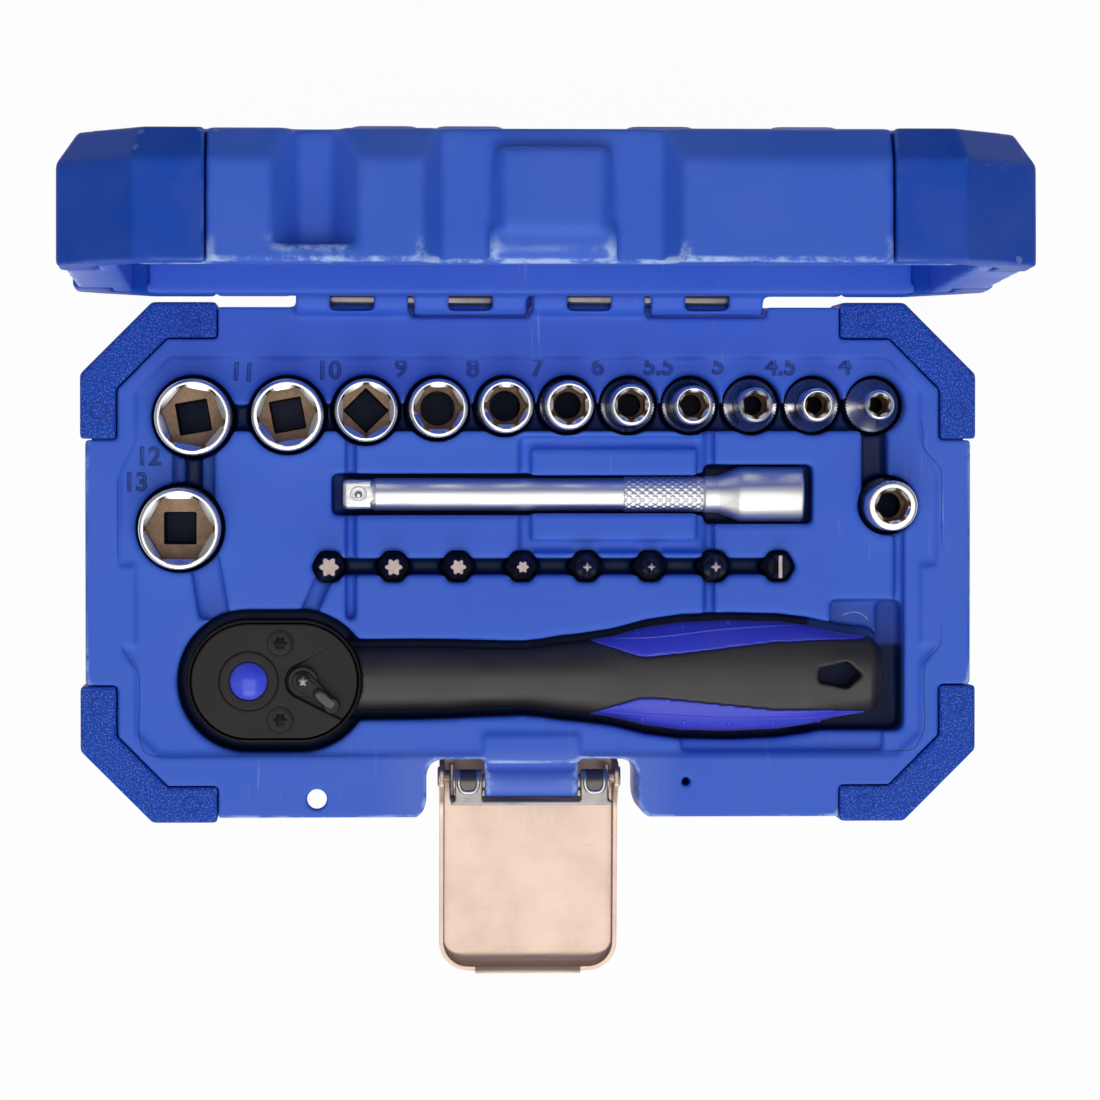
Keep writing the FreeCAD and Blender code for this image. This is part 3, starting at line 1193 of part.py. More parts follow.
def make_handle():
    """Oval handle, split by the outline of its hard core into the core and two soft grips."""
    loft = DOCUMENT.addObject("Part::Loft", "handle_loft")
    loft.Sections = [handle_station(*station) for station in handle_stations()]
    loft.Solid = True
    loft.Ruled = True
    tang = cylinder("tang_bore", ("head_end - head_radius", handle_y("head_end"), "ratchet_z"), "tang_radius",
                    "head_radius + neck_length + grip_rise", "X")
    slot_start = "tail_x - hang_slot_end - hang_slot_length"
    slot_end = "tail_x - hang_slot_end"
    slot = [
        (slot_start, "-hang_slot_width*0.25"), ("SHOULDER", "-hang_slot_width/2"), (slot_end, "0"),
        ("SHOULDER", "hang_slot_width/2"), (slot_start, "hang_slot_width*0.25"),
    ]
    slot = [(x.replace("SHOULDER", "tail_x - hang_slot_end - hang_slot_length/3"), y) for x, y in slot]
    slot = [(x, f"{handle_y('tail_x')} + {y}") for x, y in slot]
    hang_slot = prism("hang_slot", slot, "ratchet_z - grip_height", "2*grip_height")
    head = stadium("head_socket", "head_radius", "head_bottom - 1", "head_height + 2")
    handle = cut("handle_blank", loft, [tang, hang_slot, head])
    core_half = [
        ("head_end - head_radius", "grip_width"), ("waist_x", "grip_width"), ("waist_x", "waist_width/2 + 1"),
        ("waist_x + grip_rise*0.6", "core_waist/2"), ("waist_x + grip_rise*0.75", "core_waist/2"),
        ("fade_x", "core_tail/2 - 0.4"), ("tail_x - tail_length*0.15", "core_tail/2"),
        ("tail_x - tail_length*0.15", "grip_width"), ("tail_x + 1", "grip_width"),
    ]
    back = [(x, f"{handle_y(x)} + {half}") for x, half in core_half]
    front = [(x, f"{handle_y(x)} - ({half})") for x, half in reversed(core_half)]
    band = prism("core_band", back + front, "ratchet_z - grip_height", "2*grip_height")
    node("handle_core", common("handle_core_solid", handle, band))
    sides = cut("grip_pair", handle, [band])
    for label, y in (("grip_back", ("ratchet_y", "ratchet_y + 2*grip_width")),
                     ("grip_front", ("ratchet_y - 2*grip_width", "ratchet_y"))):
        z = ("ratchet_z - grip_height", "ratchet_z + grip_height")
        side = span("grip_side", ("head_x", "tail_x + 1"), y, z)
        node(label, common(label + "_solid", sides, side))


# The loose tools
def make_extension():
    y, z = "extension_y", "extension_z"
    lengths = [
        ("extension_shaft", "extension_shaft_length"),
        ("extension_knurl", "knurl_length"),
        ("extension_neck", "extension_neck_length"),
    ]
    square = block("extension_square_end", ("extension_tip + extension_square/2", y, f"{z} - drive_square/2"),
                   "extension_square", "drive_square", "drive_square")
    start = "extension_tip + extension_square"
    pieces = [square]
    for diameter, length in lengths:
        pieces.append(cylinder("extension_stretch", (start, y, z), f"{diameter}/2", length, "X"))
        start = f"{start} + {length}"
    pieces.append(cone("extension_cone", (start, y, z), "extension_neck/2", "extension_end/2",
                       "extension_taper", "X"))
    start = f"{start} + extension_taper"
    pieces.append(cylinder("extension_socket", (start, y, z), "extension_end/2", "extension_end_length", "X"))
    mouth = "drive_square + square_room"
    ball_x = "extension_tip + extension_square/2"
    ball_z = f"{z} + drive_square/2 + ball_proud - ball_radius"
    spring_top = f"{ball_z} - ball_radius"
    holes = [
        span("extension_mouth", ("extension_heel - square_depth", "extension_heel + 1"),
             (f"{y} - ({mouth})/2", f"{y} + ({mouth})/2"), (f"{z} - ({mouth})/2", f"{z} + ({mouth})/2")),
        cylinder("extension_ball_bore", (ball_x, y, f"{spring_top} - ball_spring"), "ball_radius + pin_play",
                 "drive_square + ball_spring"),
    ]
    node("extension_bar", cut("extension_bar_solid", fuse("extension_blank", pieces), holes))
    node("extension_ball", sphere("extension_ball", (ball_x, y, ball_z), "ball_radius"))
    spot = (ball_x, y, f"{spring_top} - ball_spring")
    tube = cylinder("ball_spring_outer", spot, "ball_radius - pin_play", "ball_spring - pin_play")
    core = cylinder("ball_spring_core", spot, "ball_radius/2", "ball_spring")
    node("extension_spring", cut("extension_spring_solid", tube, [core]))


def socket_shape(name, x, y, flats, outer, ring, turn, through_square):
    """Socket or adapter standing on its square end."""
    low = "socket_floor"
    top = "socket_floor + socket_length"
    taper = "ring_height/4"
    lower = cylinder(name + "_ring", (x, y, low), f"({ring})/2", "ring_height")
    shoulder = cone(name + "_shoulder", (x, y, f"{low} + ring_height"), f"({ring})/2", f"({outer})/2", taper)
    upper = cylinder(name + "_upper", (x, y, f"{low} + ring_height + {taper}"), f"({outer})/2",
                     f"socket_length - ring_height - {taper}")
    blank = fuse(name + "_blank", [lower, shoulder, upper])
    top_edge = round_edge_at(number(top), number(f"({outer})/2"))
    low_edge = round_edge_at(number(low), number(f"({ring})/2"))
    blank = ease(name + "_eased", blank, "rim_chamfer", lambda edge: top_edge(edge) or low_edge(edge),
                 "Part::Chamfer")
    square = "drive_square + square_room"
    square_height = "socket_length - hex_depth" if through_square else "square_depth"
    holes = [
        hexagon(name + "_hex", (x, y, f"{top} - hex_depth"), flats, "hex_depth + 1", turn),
        block(name + "_square", (x, y, f"{low} - 1"), square, square, f"{square_height} + 1"),
    ]
    if not through_square:
        holes.append(cylinder(name + "_bore", (x, y, low), f"({flats})*0.42", "socket_length - hex_depth/2"))
    return cut(name + "_solid", blank, holes)


def make_sockets():
    for name, flats, outer, turn in SOCKETS:
        label = "socket_" + name
        piece = socket_shape(label, label + "_x", label + "_y", label + "_flats", label + "_outer",
                             ring_of(name), turn, name in SQUARE_THROUGH)
        node(label, piece)
    adapter = socket_shape("bit_adapter", "adapter_x", "adapter_y", "bit_flats + square_room",
                           "adapter_outer", "small_ring", 30.0, False)
    node("bit_adapter", adapter)


def bit_tip(name, kind, spot):
    """Working end of a bit above its neck."""
    x, y, z = spot
    width = f"{name}_tip"
    if kind == "lobe":
        return star(name + "_lobes", spot, width, "bit_point")
    if kind == "slot":
        profile = [
            (f"{y} - {width}*0.3", z), (f"{y} + {width}*0.3", z),
            (f"{y} + {width}*0.1", f"{z} + bit_point"), (f"{y} - {width}*0.1", f"{z} + bit_point"),
        ]
        return prism(name + "_blade", profile, f"{x} - {width}/2", width, along="X")
    point = cone(name + "_point", spot, f"{width}/2", f"{width}*0.12", "bit_point")
    blades = [block(name + "_blade", spot, width, f"{width}*0.26", "bit_point"),
              block(name + "_blade", spot, f"{width}*0.26", width, "bit_point")]
    return common(name + "_cross", point, fuse(name + "_blades", blades))


def make_bits():
    for name, kind, width in BITS:
        x, y = f"{name}_x", "bits_y"
        low = "deck - bit_depth"
        shank = hexagon(name + "_shank", (x, y, low), "bit_flats", "bit_shank")
        neck = cone(name + "_neck", (x, y, f"{low} + bit_shank"), "bit_flats*0.48", f"{name}_tip/2",
                    "bit_neck")
        tip = bit_tip(name, kind, (x, y, f"{low} + bit_shank + bit_neck"))
        node(name, fuse(name + "_solid", [shank, neck, tip]))


def main():
    make_base()
    make_insert()
    make_pins()
    make_lid()
    make_latch()
    make_ratchet_body()
    make_cover()
    make_drive()
    make_reverse()
    make_handle()
    make_extension()
    make_sockets()
    make_bits()
    DOCUMENT.recompute()
    failed = [item.Name for item in DOCUMENT.Objects if "Invalid" in item.State or "Error" in item.State]
    if failed:
        raise RuntimeError("objects failed: " + ", ".join(failed))
    for piece in NODES:
        if piece.Shape.isNull() or not piece.Shape.isValid():
            raise RuntimeError("bad shape: " + piece.Label)
    os.makedirs("parts", exist_ok=True)
    for piece in NODES:
        piece.Shape.exportStep(f"parts/{piece.Label}.step")
        solids = piece.Shape.Solids
        print(f"{piece.Label}: {len(solids)} solid, {piece.Shape.Volume:.1f} mm3")


main()
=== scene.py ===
import math

import bmesh
import bpy
from bpy.props import FloatProperty, FloatVectorProperty, IntProperty, PointerProperty
from mathutils import Matrix, Vector
from mathutils.bvhtree import BVHTree


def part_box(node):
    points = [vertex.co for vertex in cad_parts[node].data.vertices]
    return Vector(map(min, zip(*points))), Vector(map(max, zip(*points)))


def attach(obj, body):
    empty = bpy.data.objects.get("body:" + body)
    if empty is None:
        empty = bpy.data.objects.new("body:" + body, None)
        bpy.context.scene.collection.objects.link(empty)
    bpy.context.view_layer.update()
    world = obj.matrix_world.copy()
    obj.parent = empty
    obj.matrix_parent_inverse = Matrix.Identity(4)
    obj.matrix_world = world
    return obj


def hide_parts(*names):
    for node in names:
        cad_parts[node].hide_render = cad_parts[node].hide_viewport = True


bl_info = {
    "name": "Socket Set Dressing",
    "version": (1, 0, 0),
    "blender": (4, 5, 0),
    "location": "View3D > Sidebar > Socket Set",
    "description": "Moulded case, chrome tools and studio for a socket wrench set",
    "category": "Object",
}

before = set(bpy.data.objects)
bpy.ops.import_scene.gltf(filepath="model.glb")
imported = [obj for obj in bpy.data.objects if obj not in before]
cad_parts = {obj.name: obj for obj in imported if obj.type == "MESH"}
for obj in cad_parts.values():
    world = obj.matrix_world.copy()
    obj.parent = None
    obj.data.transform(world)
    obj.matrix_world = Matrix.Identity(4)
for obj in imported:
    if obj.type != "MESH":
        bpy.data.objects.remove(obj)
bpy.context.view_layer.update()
MM = 0.001
UP = Vector((0.0, 0.0, 1.0))
# height in metres from which places on a skin are looked for, and distance at which corners of CAD meshes are one
SKY = 0.2
WELD = 2e-6


def colour_setting(name, description, default):
    return FloatVectorProperty(name=name, description=description, default=default, size=3,
                               min=0.0, max=1.0, subtype="COLOR")


def length_setting(name, description, millimetres):
    return FloatProperty(name=name, description=description, default=millimetres * MM, min=0.0,
                         precision=5, unit="LENGTH")


class SocketSetCase(bpy.types.PropertyGroup):
    """Colours and softness of the moulded case."""
    shell_colour: colour_setting("Shell", "Blue of the two moulded halves", (0.041, 0.136, 0.690))
    guard_colour: colour_setting("Guards", "Blue of the grained corner guards", (0.008, 0.072, 0.500))
    scuff_colour: colour_setting("Scuffs", "Pale wear on the edges of the plastic", (0.40, 0.56, 0.95))
    shell_softness: length_setting("Shell softness", "Grain of the softened edges of the shells", 0.50)
    guard_softness: length_setting("Guard softness", "Grain of the softened edges of the guards", 0.45)
    shell_rounds: IntProperty(name="Shell rounds", description="Smoothing passes over the shells",
                              default=7, min=0, max=60)
    numeral_height: length_setting("Numerals", "Height of the raised size numbers", 4.0)
    numeral_line: length_setting("Numeral line", "Radius of the raised line of a number", 0.21)


class SocketSetTools(bpy.types.PropertyGroup):
    """Colours of the tools and of the latch."""
    chrome_colour: colour_setting("Chrome", "Satin chrome of sockets and bar", (0.86, 0.85, 0.835))
    broach_colour: colour_setting("Broached steel", "Bare steel inside the hexagons", (0.42, 0.28, 0.18))
    black_colour: colour_setting("Black", "Matt black of ratchet and handle", (0.020, 0.016, 0.0145))
    grip_colour: colour_setting("Grips", "Blue of the soft grips", (0.040, 0.056, 0.66))
    button_colour: colour_setting("Button", "Blue of the release button", (0.055, 0.090, 0.82))
    latch_colour: colour_setting("Latch", "Warm plated steel of the latch", (0.64, 0.48, 0.39))
    bit_colour: colour_setting("Bits", "Black finish of the bits", (0.020, 0.021, 0.026))
    rim_round: length_setting("Socket rim", "Width of the polished rim of a socket", 0.55)


class SocketSetStage(bpy.types.PropertyGroup):
    """Floor, light and camera."""
    floor_colour: colour_setting("Floor", "Pale floor", (0.86, 0.86, 0.87))
    key_power: FloatProperty(name="Key light", description="Power of the large lamp overhead",
                             default=12.5, min=0.0, unit="POWER")
    fill_power: FloatProperty(name="Fill light", description="Power of the lamp in front",
                              default=6.0, min=0.0, unit="POWER")
    lens: FloatProperty(name="Lens", description="Focal length of the camera", default=171.6,
                        min=20.0, unit="CAMERA")
    camera_place: FloatVectorProperty(name="Camera", description="Place of the camera",
                                      default=(-0.043, 0.026, 1.170), subtype="TRANSLATION")
    camera_aim: FloatVectorProperty(name="Aim", description="Point that the camera looks at",
                                    default=(0.0045, 0.0027, 0.030), subtype="TRANSLATION")


def settings():
    """The three groups of settings of the scene."""
    scene = bpy.context.scene
    return scene.socket_set_case, scene.socket_set_tools, scene.socket_set_stage


# Meshes

def set_all(thing, **values):
    """Set several properties of a thing."""
    for key, value in values.items():
        setattr(thing, key, value)
    return thing


def in_scene(name, data):
    """New object of the scene."""
    holder = bpy.data.objects.new(name, data)
    bpy.context.scene.collection.objects.link(holder)
    return holder


def show(name, mesh, body, slot, *materials):
    """Put a finished mesh into the scene as a piece that rides on a body."""
    piece = in_scene(name, mesh)
    for material in materials:
        mesh.materials.append(material)
    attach(piece, body)
    return piece


def as_mesh(shape, name, smooth=True):
    """Turn a bmesh into a mesh."""
    for face in shape.faces:
        face.smooth = smooth
    mesh = bpy.data.meshes.new(name)
    shape.to_mesh(mesh)
    shape.free()
    return mesh


def finished(shape, name, smooth=True, sharp=None):
    """Mesh of a bmesh with its faces pointing outwards; edges stay crisp where they turn by more than sharp degrees."""
    bmesh.ops.remove_doubles(shape, verts=shape.verts, dist=1e-7)
    bmesh.ops.recalc_face_normals(shape, faces=shape.faces)
    mesh = as_mesh(shape, name, smooth)
    if sharp:
        mesh.set_sharp_from_angle(angle=math.radians(sharp))
    return mesh


def at(place, degrees=0.0, axis="Z"):
    """Matrix of a turn about an axis at a place in metres."""
    return Matrix.Translation(place) @ Matrix.Rotation(math.radians(degrees), 4, axis)


def show_shape(name, shape, body, slot, *materials, place=Matrix(), smooth=True, sharp=None):
    """Finish a bmesh, move it to its place and show it."""
    mesh = finished(shape, name, smooth, sharp)
    mesh.transform(place)
    return show(name, mesh, body, slot, *materials)


def merged(nodes):
    """Copy of the meshes of CAD nodes as one bmesh."""
    shape = bmesh.new()
    for node in nodes:
        shape.from_mesh(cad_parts[node].data)
    bmesh.ops.remove_doubles(shape, verts=shape.verts, dist=WELD)
    return shape


def flattened(shape):
    """Join the faces of a bmesh that lie in one plane."""
    bmesh.ops.dissolve_limit(shape, angle_limit=math.radians(1.0), verts=shape.verts, edges=shape.edges)


def rounded(shape, edges, width, segments):
    """Round some edges of a bmesh by a width in millimetres."""
    bmesh.ops.bevel(shape, geom=edges, offset=width * MM, affect="EDGES", segments=segments, profile=0.5, material=-1)


def is_level(edge):
    """Whether an edge keeps its height."""
    return abs(edge.verts[0].co.z - edge.verts[1].co.z) < 1e-6


def points_of(grown):
    """The corners among new parts of a bmesh."""
    return [part for part in grown if isinstance(part, bmesh.types.BMVert)]


def add_box(shape, middle, size):
    """Box given in millimetres."""
    verts = bmesh.ops.create_cube(shape, size=1.0)["verts"]
    bmesh.ops.scale(shape, vec=Vector(size) * MM, verts=verts)
    bmesh.ops.translate(shape, vec=Vector(middle) * MM, verts=verts)


def baked(piece):
    """Apply the modifiers of a piece to its mesh."""
    depsgraph = bpy.context.evaluated_depsgraph_get()
    mesh = bpy.data.meshes.new_from_object(piece.evaluated_get(depsgraph), depsgraph=depsgraph)
    mesh.name = piece.data.name
    piece.modifiers.clear()
    piece.data = mesh


def cut_away(piece, low, high):
    """Take a box with rounded upright edges between two corners in millimetres out of a piece."""
    shape = bmesh.new()
    size = Vector(high) - Vector(low)
    add_box(shape, Vector(low) + size / 2, size)
    rounded(shape, [edge for edge in shape.edges if not is_level(edge)], width=2.0, segments=5)
    mesh = finished(shape, "cutter", False)
    holder = in_scene("cutter", mesh)
    set_all(piece.modifiers.new("cut", "BOOLEAN"), operation="DIFFERENCE", object=holder)
    baked(piece)
    bpy.data.objects.remove(holder)
    bpy.data.meshes.remove(mesh)


def softened(name, nodes, body, slot, material, grain, rounds, limit, softer=None, cuts=()):
    """Moulded look of CAD nodes: their edges are rounded by about the grain, and more where softer says so."""
    piece = show(name, as_mesh(merged(nodes), name), body, slot, material)
    for low, high in cuts:
        cut_away(piece, low, high)
    set_all(piece.modifiers.new("skin", "REMESH"), mode="VOXEL", voxel_size=grain, use_smooth_shade=True)
    baked(piece)
    set_all(piece.modifiers.new("round", "SMOOTH"), factor=0.5, iterations=rounds)
    if softer:
        extra, weight_at = softer
        group = piece.vertex_groups.new(name="soft")
        for vert in piece.data.vertices:
            weight = weight_at(vert.co)
            if weight > 0.0:
                group.add([vert.index], weight, "REPLACE")
        set_all(piece.modifiers.new("rounder", "SMOOTH"), factor=0.5, iterations=extra, vertex_group="soft")
    baked(piece)
    piece.vertex_groups.clear()
    triangles = sum(len(face.vertices) - 2 for face in piece.data.polygons)
    if triangles > limit:
        piece.modifiers.new("thin", "DECIMATE").ratio = limit / triangles
        baked(piece)
    piece.data.materials.clear()
    piece.data.materials.append(material)
    piece.data.shade_smooth()
    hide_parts(*nodes)
    return piece


def bevel_edges(piece, width, segments, angle, **more):
    """Break the edges of a piece that turn by more than an angle; the width is in millimetres."""
    set_all(piece.modifiers.new("edge", "BEVEL"), width=width * MM, segments=segments, limit_method="ANGLE",
            angle_limit=math.radians(angle), **more)


def bevelled(node, body, slot, material, width, segments=2):
    """Copy of a CAD node with its edges broken by a small bevel."""
    shape = merged([node])
    flattened(shape)
    piece = show(node + "_eased", as_mesh(shape, node + "_eased"), body, slot, material)
    bevel_edges(piece, width, segments, angle=30.0, harden_normals=True)
    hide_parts(node)


def smooth_path(points, count):
    """Places along a smooth line through a few points in plan."""
    ends = [Vector(point) for point in [points[0], *points, points[-1]]]
    path = []
    for place in range(count + 1):
        at = place / count * (len(points) - 1)
        start = min(int(at), len(points) - 2)
        share = at - start
        a, b, c, d = ends[start:start + 4]
        path.append(0.5 * (2 * b + (c - a) * share + (2 * a - 5 * b + 4 * c - d) * share ** 2
                           + (3 * b - a - 3 * c + d) * share ** 3))
    return path


def skin_of(piece):
    """Search tree over the finished skin of a piece."""
    return BVHTree.FromPolygons([vert.co for vert in piece.data.vertices],
                                [face.vertices for face in piece.data.polygons])


def top_at(tree, x, y):
    """Place and normal where a skin is met from above; x and y are in millimetres."""
    return tree.ray_cast(Vector((x * MM, y * MM, SKY)), -UP)[:2]


def curve_mesh(curve):
    """Mesh of a curve, which is then let go."""
    holder = in_scene(curve.name, curve)
    mesh = bpy.data.meshes.new_from_object(holder)
    bpy.data.objects.remove(holder)
    bpy.data.curves.remove(curve)
    mesh.shade_smooth()
    return mesh


def bead(name, tree, points, body, slot, material, radius, sunk):
    """Round line with thin ends that lies on a skin, under places in plan; lengths are in millimetres."""
    curve = set_all(bpy.data.curves.new(name, "CURVE"), dimensions="3D", bevel_depth=radius * MM,
                    bevel_resolution=2, use_fill_caps=True)
    hits = [top_at(tree, place.x, place.y)[0] for place in smooth_path(points, 48)]
    path = [hit - UP * sunk * MM for hit in hits if hit]
    spline = curve.splines.new("POLY")
    spline.points.add(len(path) - 1)
    for index, (point, place) in enumerate(zip(spline.points, path)):
        point.co = (*place, 1.0)
        point.radius = min(1.0, 0.25 + min(index, len(path) - 1 - index) * 0.15)
    show(name, curve_mesh(curve), body, slot, material)


def dress(node, material):
    """Give a CAD node that stays as it is a finish of its own."""
    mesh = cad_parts[node].data
    mesh.materials.clear()
    mesh.materials.append(material)


# Finishes

class Finish:
    """A procedural material under construction, on Object coordinates."""

    def __init__(self, name, colour, roughness, metallic=0.0, specular=0.5, sheen=0.0):
        self.material = bpy.data.materials.new(name)
        self.material.use_nodes = True
        self.nodes = self.material.node_tree.nodes
        self.links = self.material.node_tree.links
        self.colour = (*colour, 1.0)
        self.shader = self.feed(self.nodes["Principled BSDF"], {
            "Base Color": self.colour, "Roughness": roughness, "Metallic": metallic,
            "Specular IOR Level": specular, "Sheen Weight": sheen})
        self.place = self.nodes.new("ShaderNodeTexCoord").outputs["Object"]
        self.bumps = None

    def feed(self, node, inputs):
        """Set the inputs of a node to values, or link them to sockets."""
        for key, value in inputs.items():
            if isinstance(value, bpy.types.NodeSocket):
                self.links.new(value, node.inputs[key])
            else:
                node.inputs[key].default_value = value
        return node

    def add(self, kind, inputs, **values):
        """Outputs of a new node with its properties and inputs set."""
        return self.feed(set_all(self.nodes.new(kind), **values), inputs).outputs

    def stretched(self, scale, turn=0.0):
        """Object coordinates stretched along the axes, after a turn about Z in degrees."""
        return self.add("ShaderNodeMapping", {"Vector": self.place, "Scale": scale,
                                              "Rotation": (0.0, 0.0, math.radians(turn))})["Vector"]

    def noise(self, scale, detail=4.0, rough=0.55, place=None):
        return self.add("ShaderNodeTexNoise", {"Vector": place or self.place, "Scale": scale, "Detail": detail,
                                               "Roughness": rough})["Fac"]

    def ramp(self, factor, low, high, start=0.0, end=1.0):
        """Stretch a factor between two limits."""
        limits = {"Value": factor, "From Min": low, "From Max": high, "To Min": start, "To Max": end}
        return self.add("ShaderNodeMapRange", limits, interpolation_type="SMOOTHSTEP")["Result"]

    def join(self, first, second, operation="MULTIPLY"):
        return self.add("ShaderNodeMath", {0: first, 1: second}, operation=operation)["Value"]

    def most(self, first, second):
        return self.join(first, second, "MAXIMUM")

    def parts(self):
        """The three Object coordinates on their own."""
        split = self.add("ShaderNodeSeparateXYZ", {"Vector": self.place})
        return split["X"], split["Y"], split["Z"]

    def window(self, low, high, soft=0.0018):
        """Factor that is high between two corners in plan, given in metres."""
        inside = 1.0
        for place, start, end in zip(self.parts(), low, high):
            inside = self.join(inside, self.ramp(place, start - soft, start))
            inside = self.join(inside, self.ramp(place, end, end + soft, 1.0, 0.0))
        return inside

    def tint(self, factor, colour):
        """Mix a colour over the base colour where a factor is high."""
        mix = {"A": self.colour, "B": (*colour, 1.0), "Factor": factor}
        self.colour = self.add("ShaderNodeMix", mix, data_type="RGBA")["Result"]
        self.feed(self.shader, {"Base Color": self.colour})

    def gloss(self, factor, low, high):
        """Roughness that follows a factor."""
        self.feed(self.shader, {"Roughness": self.ramp(factor, 0.3, 0.7, low, high)})

    def bump(self, height, strength, depth):
        """Add relief of a depth in metres."""
        inputs = {"Strength": strength, "Distance": depth, "Height": height}
        if self.bumps:
            inputs["Normal"] = self.bumps
        self.bumps = self.add("ShaderNodeBump", inputs)["Normal"]
        self.feed(self.shader, {"Normal": self.bumps})

    def edges(self, low, high):
        """Factor that is high on convex edges."""
        return self.ramp(self.nodes.new("ShaderNodeNewGeometry").outputs["Pointiness"], low, high)

    def wear(self, colour, edge, scale, patch, share):
        """Pale wear in patches on convex edges."""
        worn = self.join(self.edges(*edge), self.ramp(self.noise(scale), *patch))
        self.tint(self.join(worn, share), colour)

    def scratches(self, colour, scale, stretch, turn, sparse, share):
        """Fine straight lines, only where a second noise is high."""
        lines = self.noise(scale, 2.0, 0.4, self.stretched(stretch, turn))
        where = self.ramp(self.noise(*sparse[:2]), *sparse[2:])
        self.tint(self.join(self.join(self.ramp(lines, 0.66, 0.74), where), share), colour)


def lighter(colour, share):
    return [channel + (1.0 - channel) * share for channel in colour]


def darker(colour, share):
    return [channel * (1.0 - share) for channel in colour]


def clouded(name, colour, other, roughness, cloud, blend, gloss=None, relief=None, stretch=None, smudge=None,
            **more):
    """Finish of one colour with clouds or streaks of another.

    cloud: scale, detail and roughness of the noise; blend: its limits and the share of the other colour;
    gloss: lowest and highest roughness, over the clouds or over a noise of its own, smudge;
    relief: scale (0 follows the clouds), strength and depth in metres.
    """
    finish = Finish(name, colour, roughness, **more)
    factor = finish.noise(*cloud, place=stretch and finish.stretched(stretch))
    finish.tint(finish.ramp(factor, *blend[:2], 0.0, blend[2]), other)
    if gloss:
        finish.gloss(finish.noise(*smudge) if smudge else factor, *gloss)
    if relief:
        scale, strength, depth = relief
        finish.bump(finish.noise(scale, 2.0) if scale else factor, strength, depth)
    return finish


# corners in plan, in metres, of places where the painted pocket shade is weaker, and the share of that painted shade
# they keep
LESS_PAINTED_SHADE_PLACES = (((0.063, -0.0175), (0.090, -0.0055), 0.2), ((-0.050, 0.006), (-0.0415, 0.024), 0.45),
                ((0.0605, 0.003), (0.070, 0.027), 0.6))


def moulded_shell(case):
    """Blow-moulded polyethylene: cloudy blue, fine scratches, pale scuffs at latch and rim, and painted shade that
    darkens the floors of the pockets.
    """
    colour = case.shell_colour
    finish = clouded("shell_plastic", colour, lighter(colour, 0.06), roughness=0.42, specular=0.26,
                     cloud=(38.0, 5.0), blend=(0.35, 0.75, 0.35), gloss=(0.36, 0.50))
    finish.scratches(lighter(colour, 0.35), scale=46.0, stretch=(26.0, 1.6, 1.6), turn=28.0,
                     sparse=(24.0, 3.0, 0.54, 0.70), share=0.30)
    x, y, z = finish.parts()
    across = finish.join(x, 0.0, "ABSOLUTE")
    inside = finish.window((-0.089, -0.0422), (0.089, 0.0422))
    for low, high, kept in LESS_PAINTED_SHADE_PLACES:
        inside = finish.join(inside, finish.ramp(finish.window(low, high), 0.0, 1.0, 1.0, kept))
    # painted shade: pocket floors below 19.5 mm inside the deck are darkened towards near-black blue, fading out by
    # 28.2 mm and weaker in the listed places
    painted_pocket_shade = finish.join(finish.ramp(z, 0.0195, 0.0282, 1.0, 0.0), inside)
    finish.tint(finish.join(painted_pocket_shade, 0.88), darker(colour, 0.95))
    latch = finish.join(finish.ramp(y, -0.0425, -0.0405, 1.0, 0.0), finish.ramp(across, 0.025, 0.034, 1.0, 0.0))
    finish.tint(finish.join(latch, 0.35), lighter(colour, 0.14))
    rim = finish.join(finish.ramp(z, 0.128, 0.134), finish.ramp(y, 0.0625, 0.068, 1.0, 0.0))
    outer = finish.most(finish.ramp(y, -0.0550, -0.0535, 1.0, 0.0), finish.ramp(across, 0.0945, 0.0958))
    handled = finish.most(finish.most(latch, rim), finish.join(outer, 0.75))
    handled = finish.join(handled, finish.edges(0.504, 0.524))
    handled = finish.most(handled, finish.join(rim, finish.edges(0.501, 0.511)))
    worn = finish.most(handled, finish.join(finish.edges(0.530, 0.60), 0.35))
    patches = finish.ramp(finish.noise(150.0, 5.0, 0.7), 0.40, 0.60)
    finish.tint(finish.join(worn, patches), case.scuff_colour)
    finish.bump(finish.noise(900.0, 3.0), 0.16, 0.00006)
    finish.bump(finish.noise(60.0, 2.0), 0.25, 0.00022)
    return finish.material


def grained_guard(case):
    """Harder plastic with a leather-like grain, small lighter specks of painted sparkle, and pale worn edges."""
    finish = Finish("guard_plastic", case.guard_colour, 0.50, specular=0.07)
    grain = finish.noise(2100.0, 3.0, 0.6)
    # painted sparkle: small lighter specks over the grain
    painted_sparkle = finish.ramp(finish.noise(2700.0, 2.0, 0.5), 0.50, 0.66)
    finish.tint(finish.join(painted_sparkle, 0.62), lighter(case.guard_colour, 0.22))
    finish.tint(finish.join(finish.ramp(grain, 0.36, 0.46, 1.0, 0.0), 0.40), darker(case.guard_colour, 0.55))
    finish.wear(case.scuff_colour, edge=(0.535, 0.62), scale=120.0, patch=(0.42, 0.68), share=0.45)
    finish.gloss(grain, 0.40, 0.60)
    finish.bump(grain, 0.45, 0.00011)
    return finish.material


def smooth_guard(case):
    """Smooth harder plastic of the lid guards with faint clouds and pale edges."""
    finish = clouded("smooth_guard", case.guard_colour, lighter(case.guard_colour, 0.05), roughness=0.46,
                     specular=0.14, cloud=(60.0, 5.0), blend=(0.38, 0.72, 0.4), gloss=(0.40, 0.52),
                     relief=(1200.0, 0.10, 0.00005))
    finish.wear(case.scuff_colour, edge=(0.508, 0.56), scale=140.0, patch=(0.40, 0.66), share=0.30)
    return finish.material


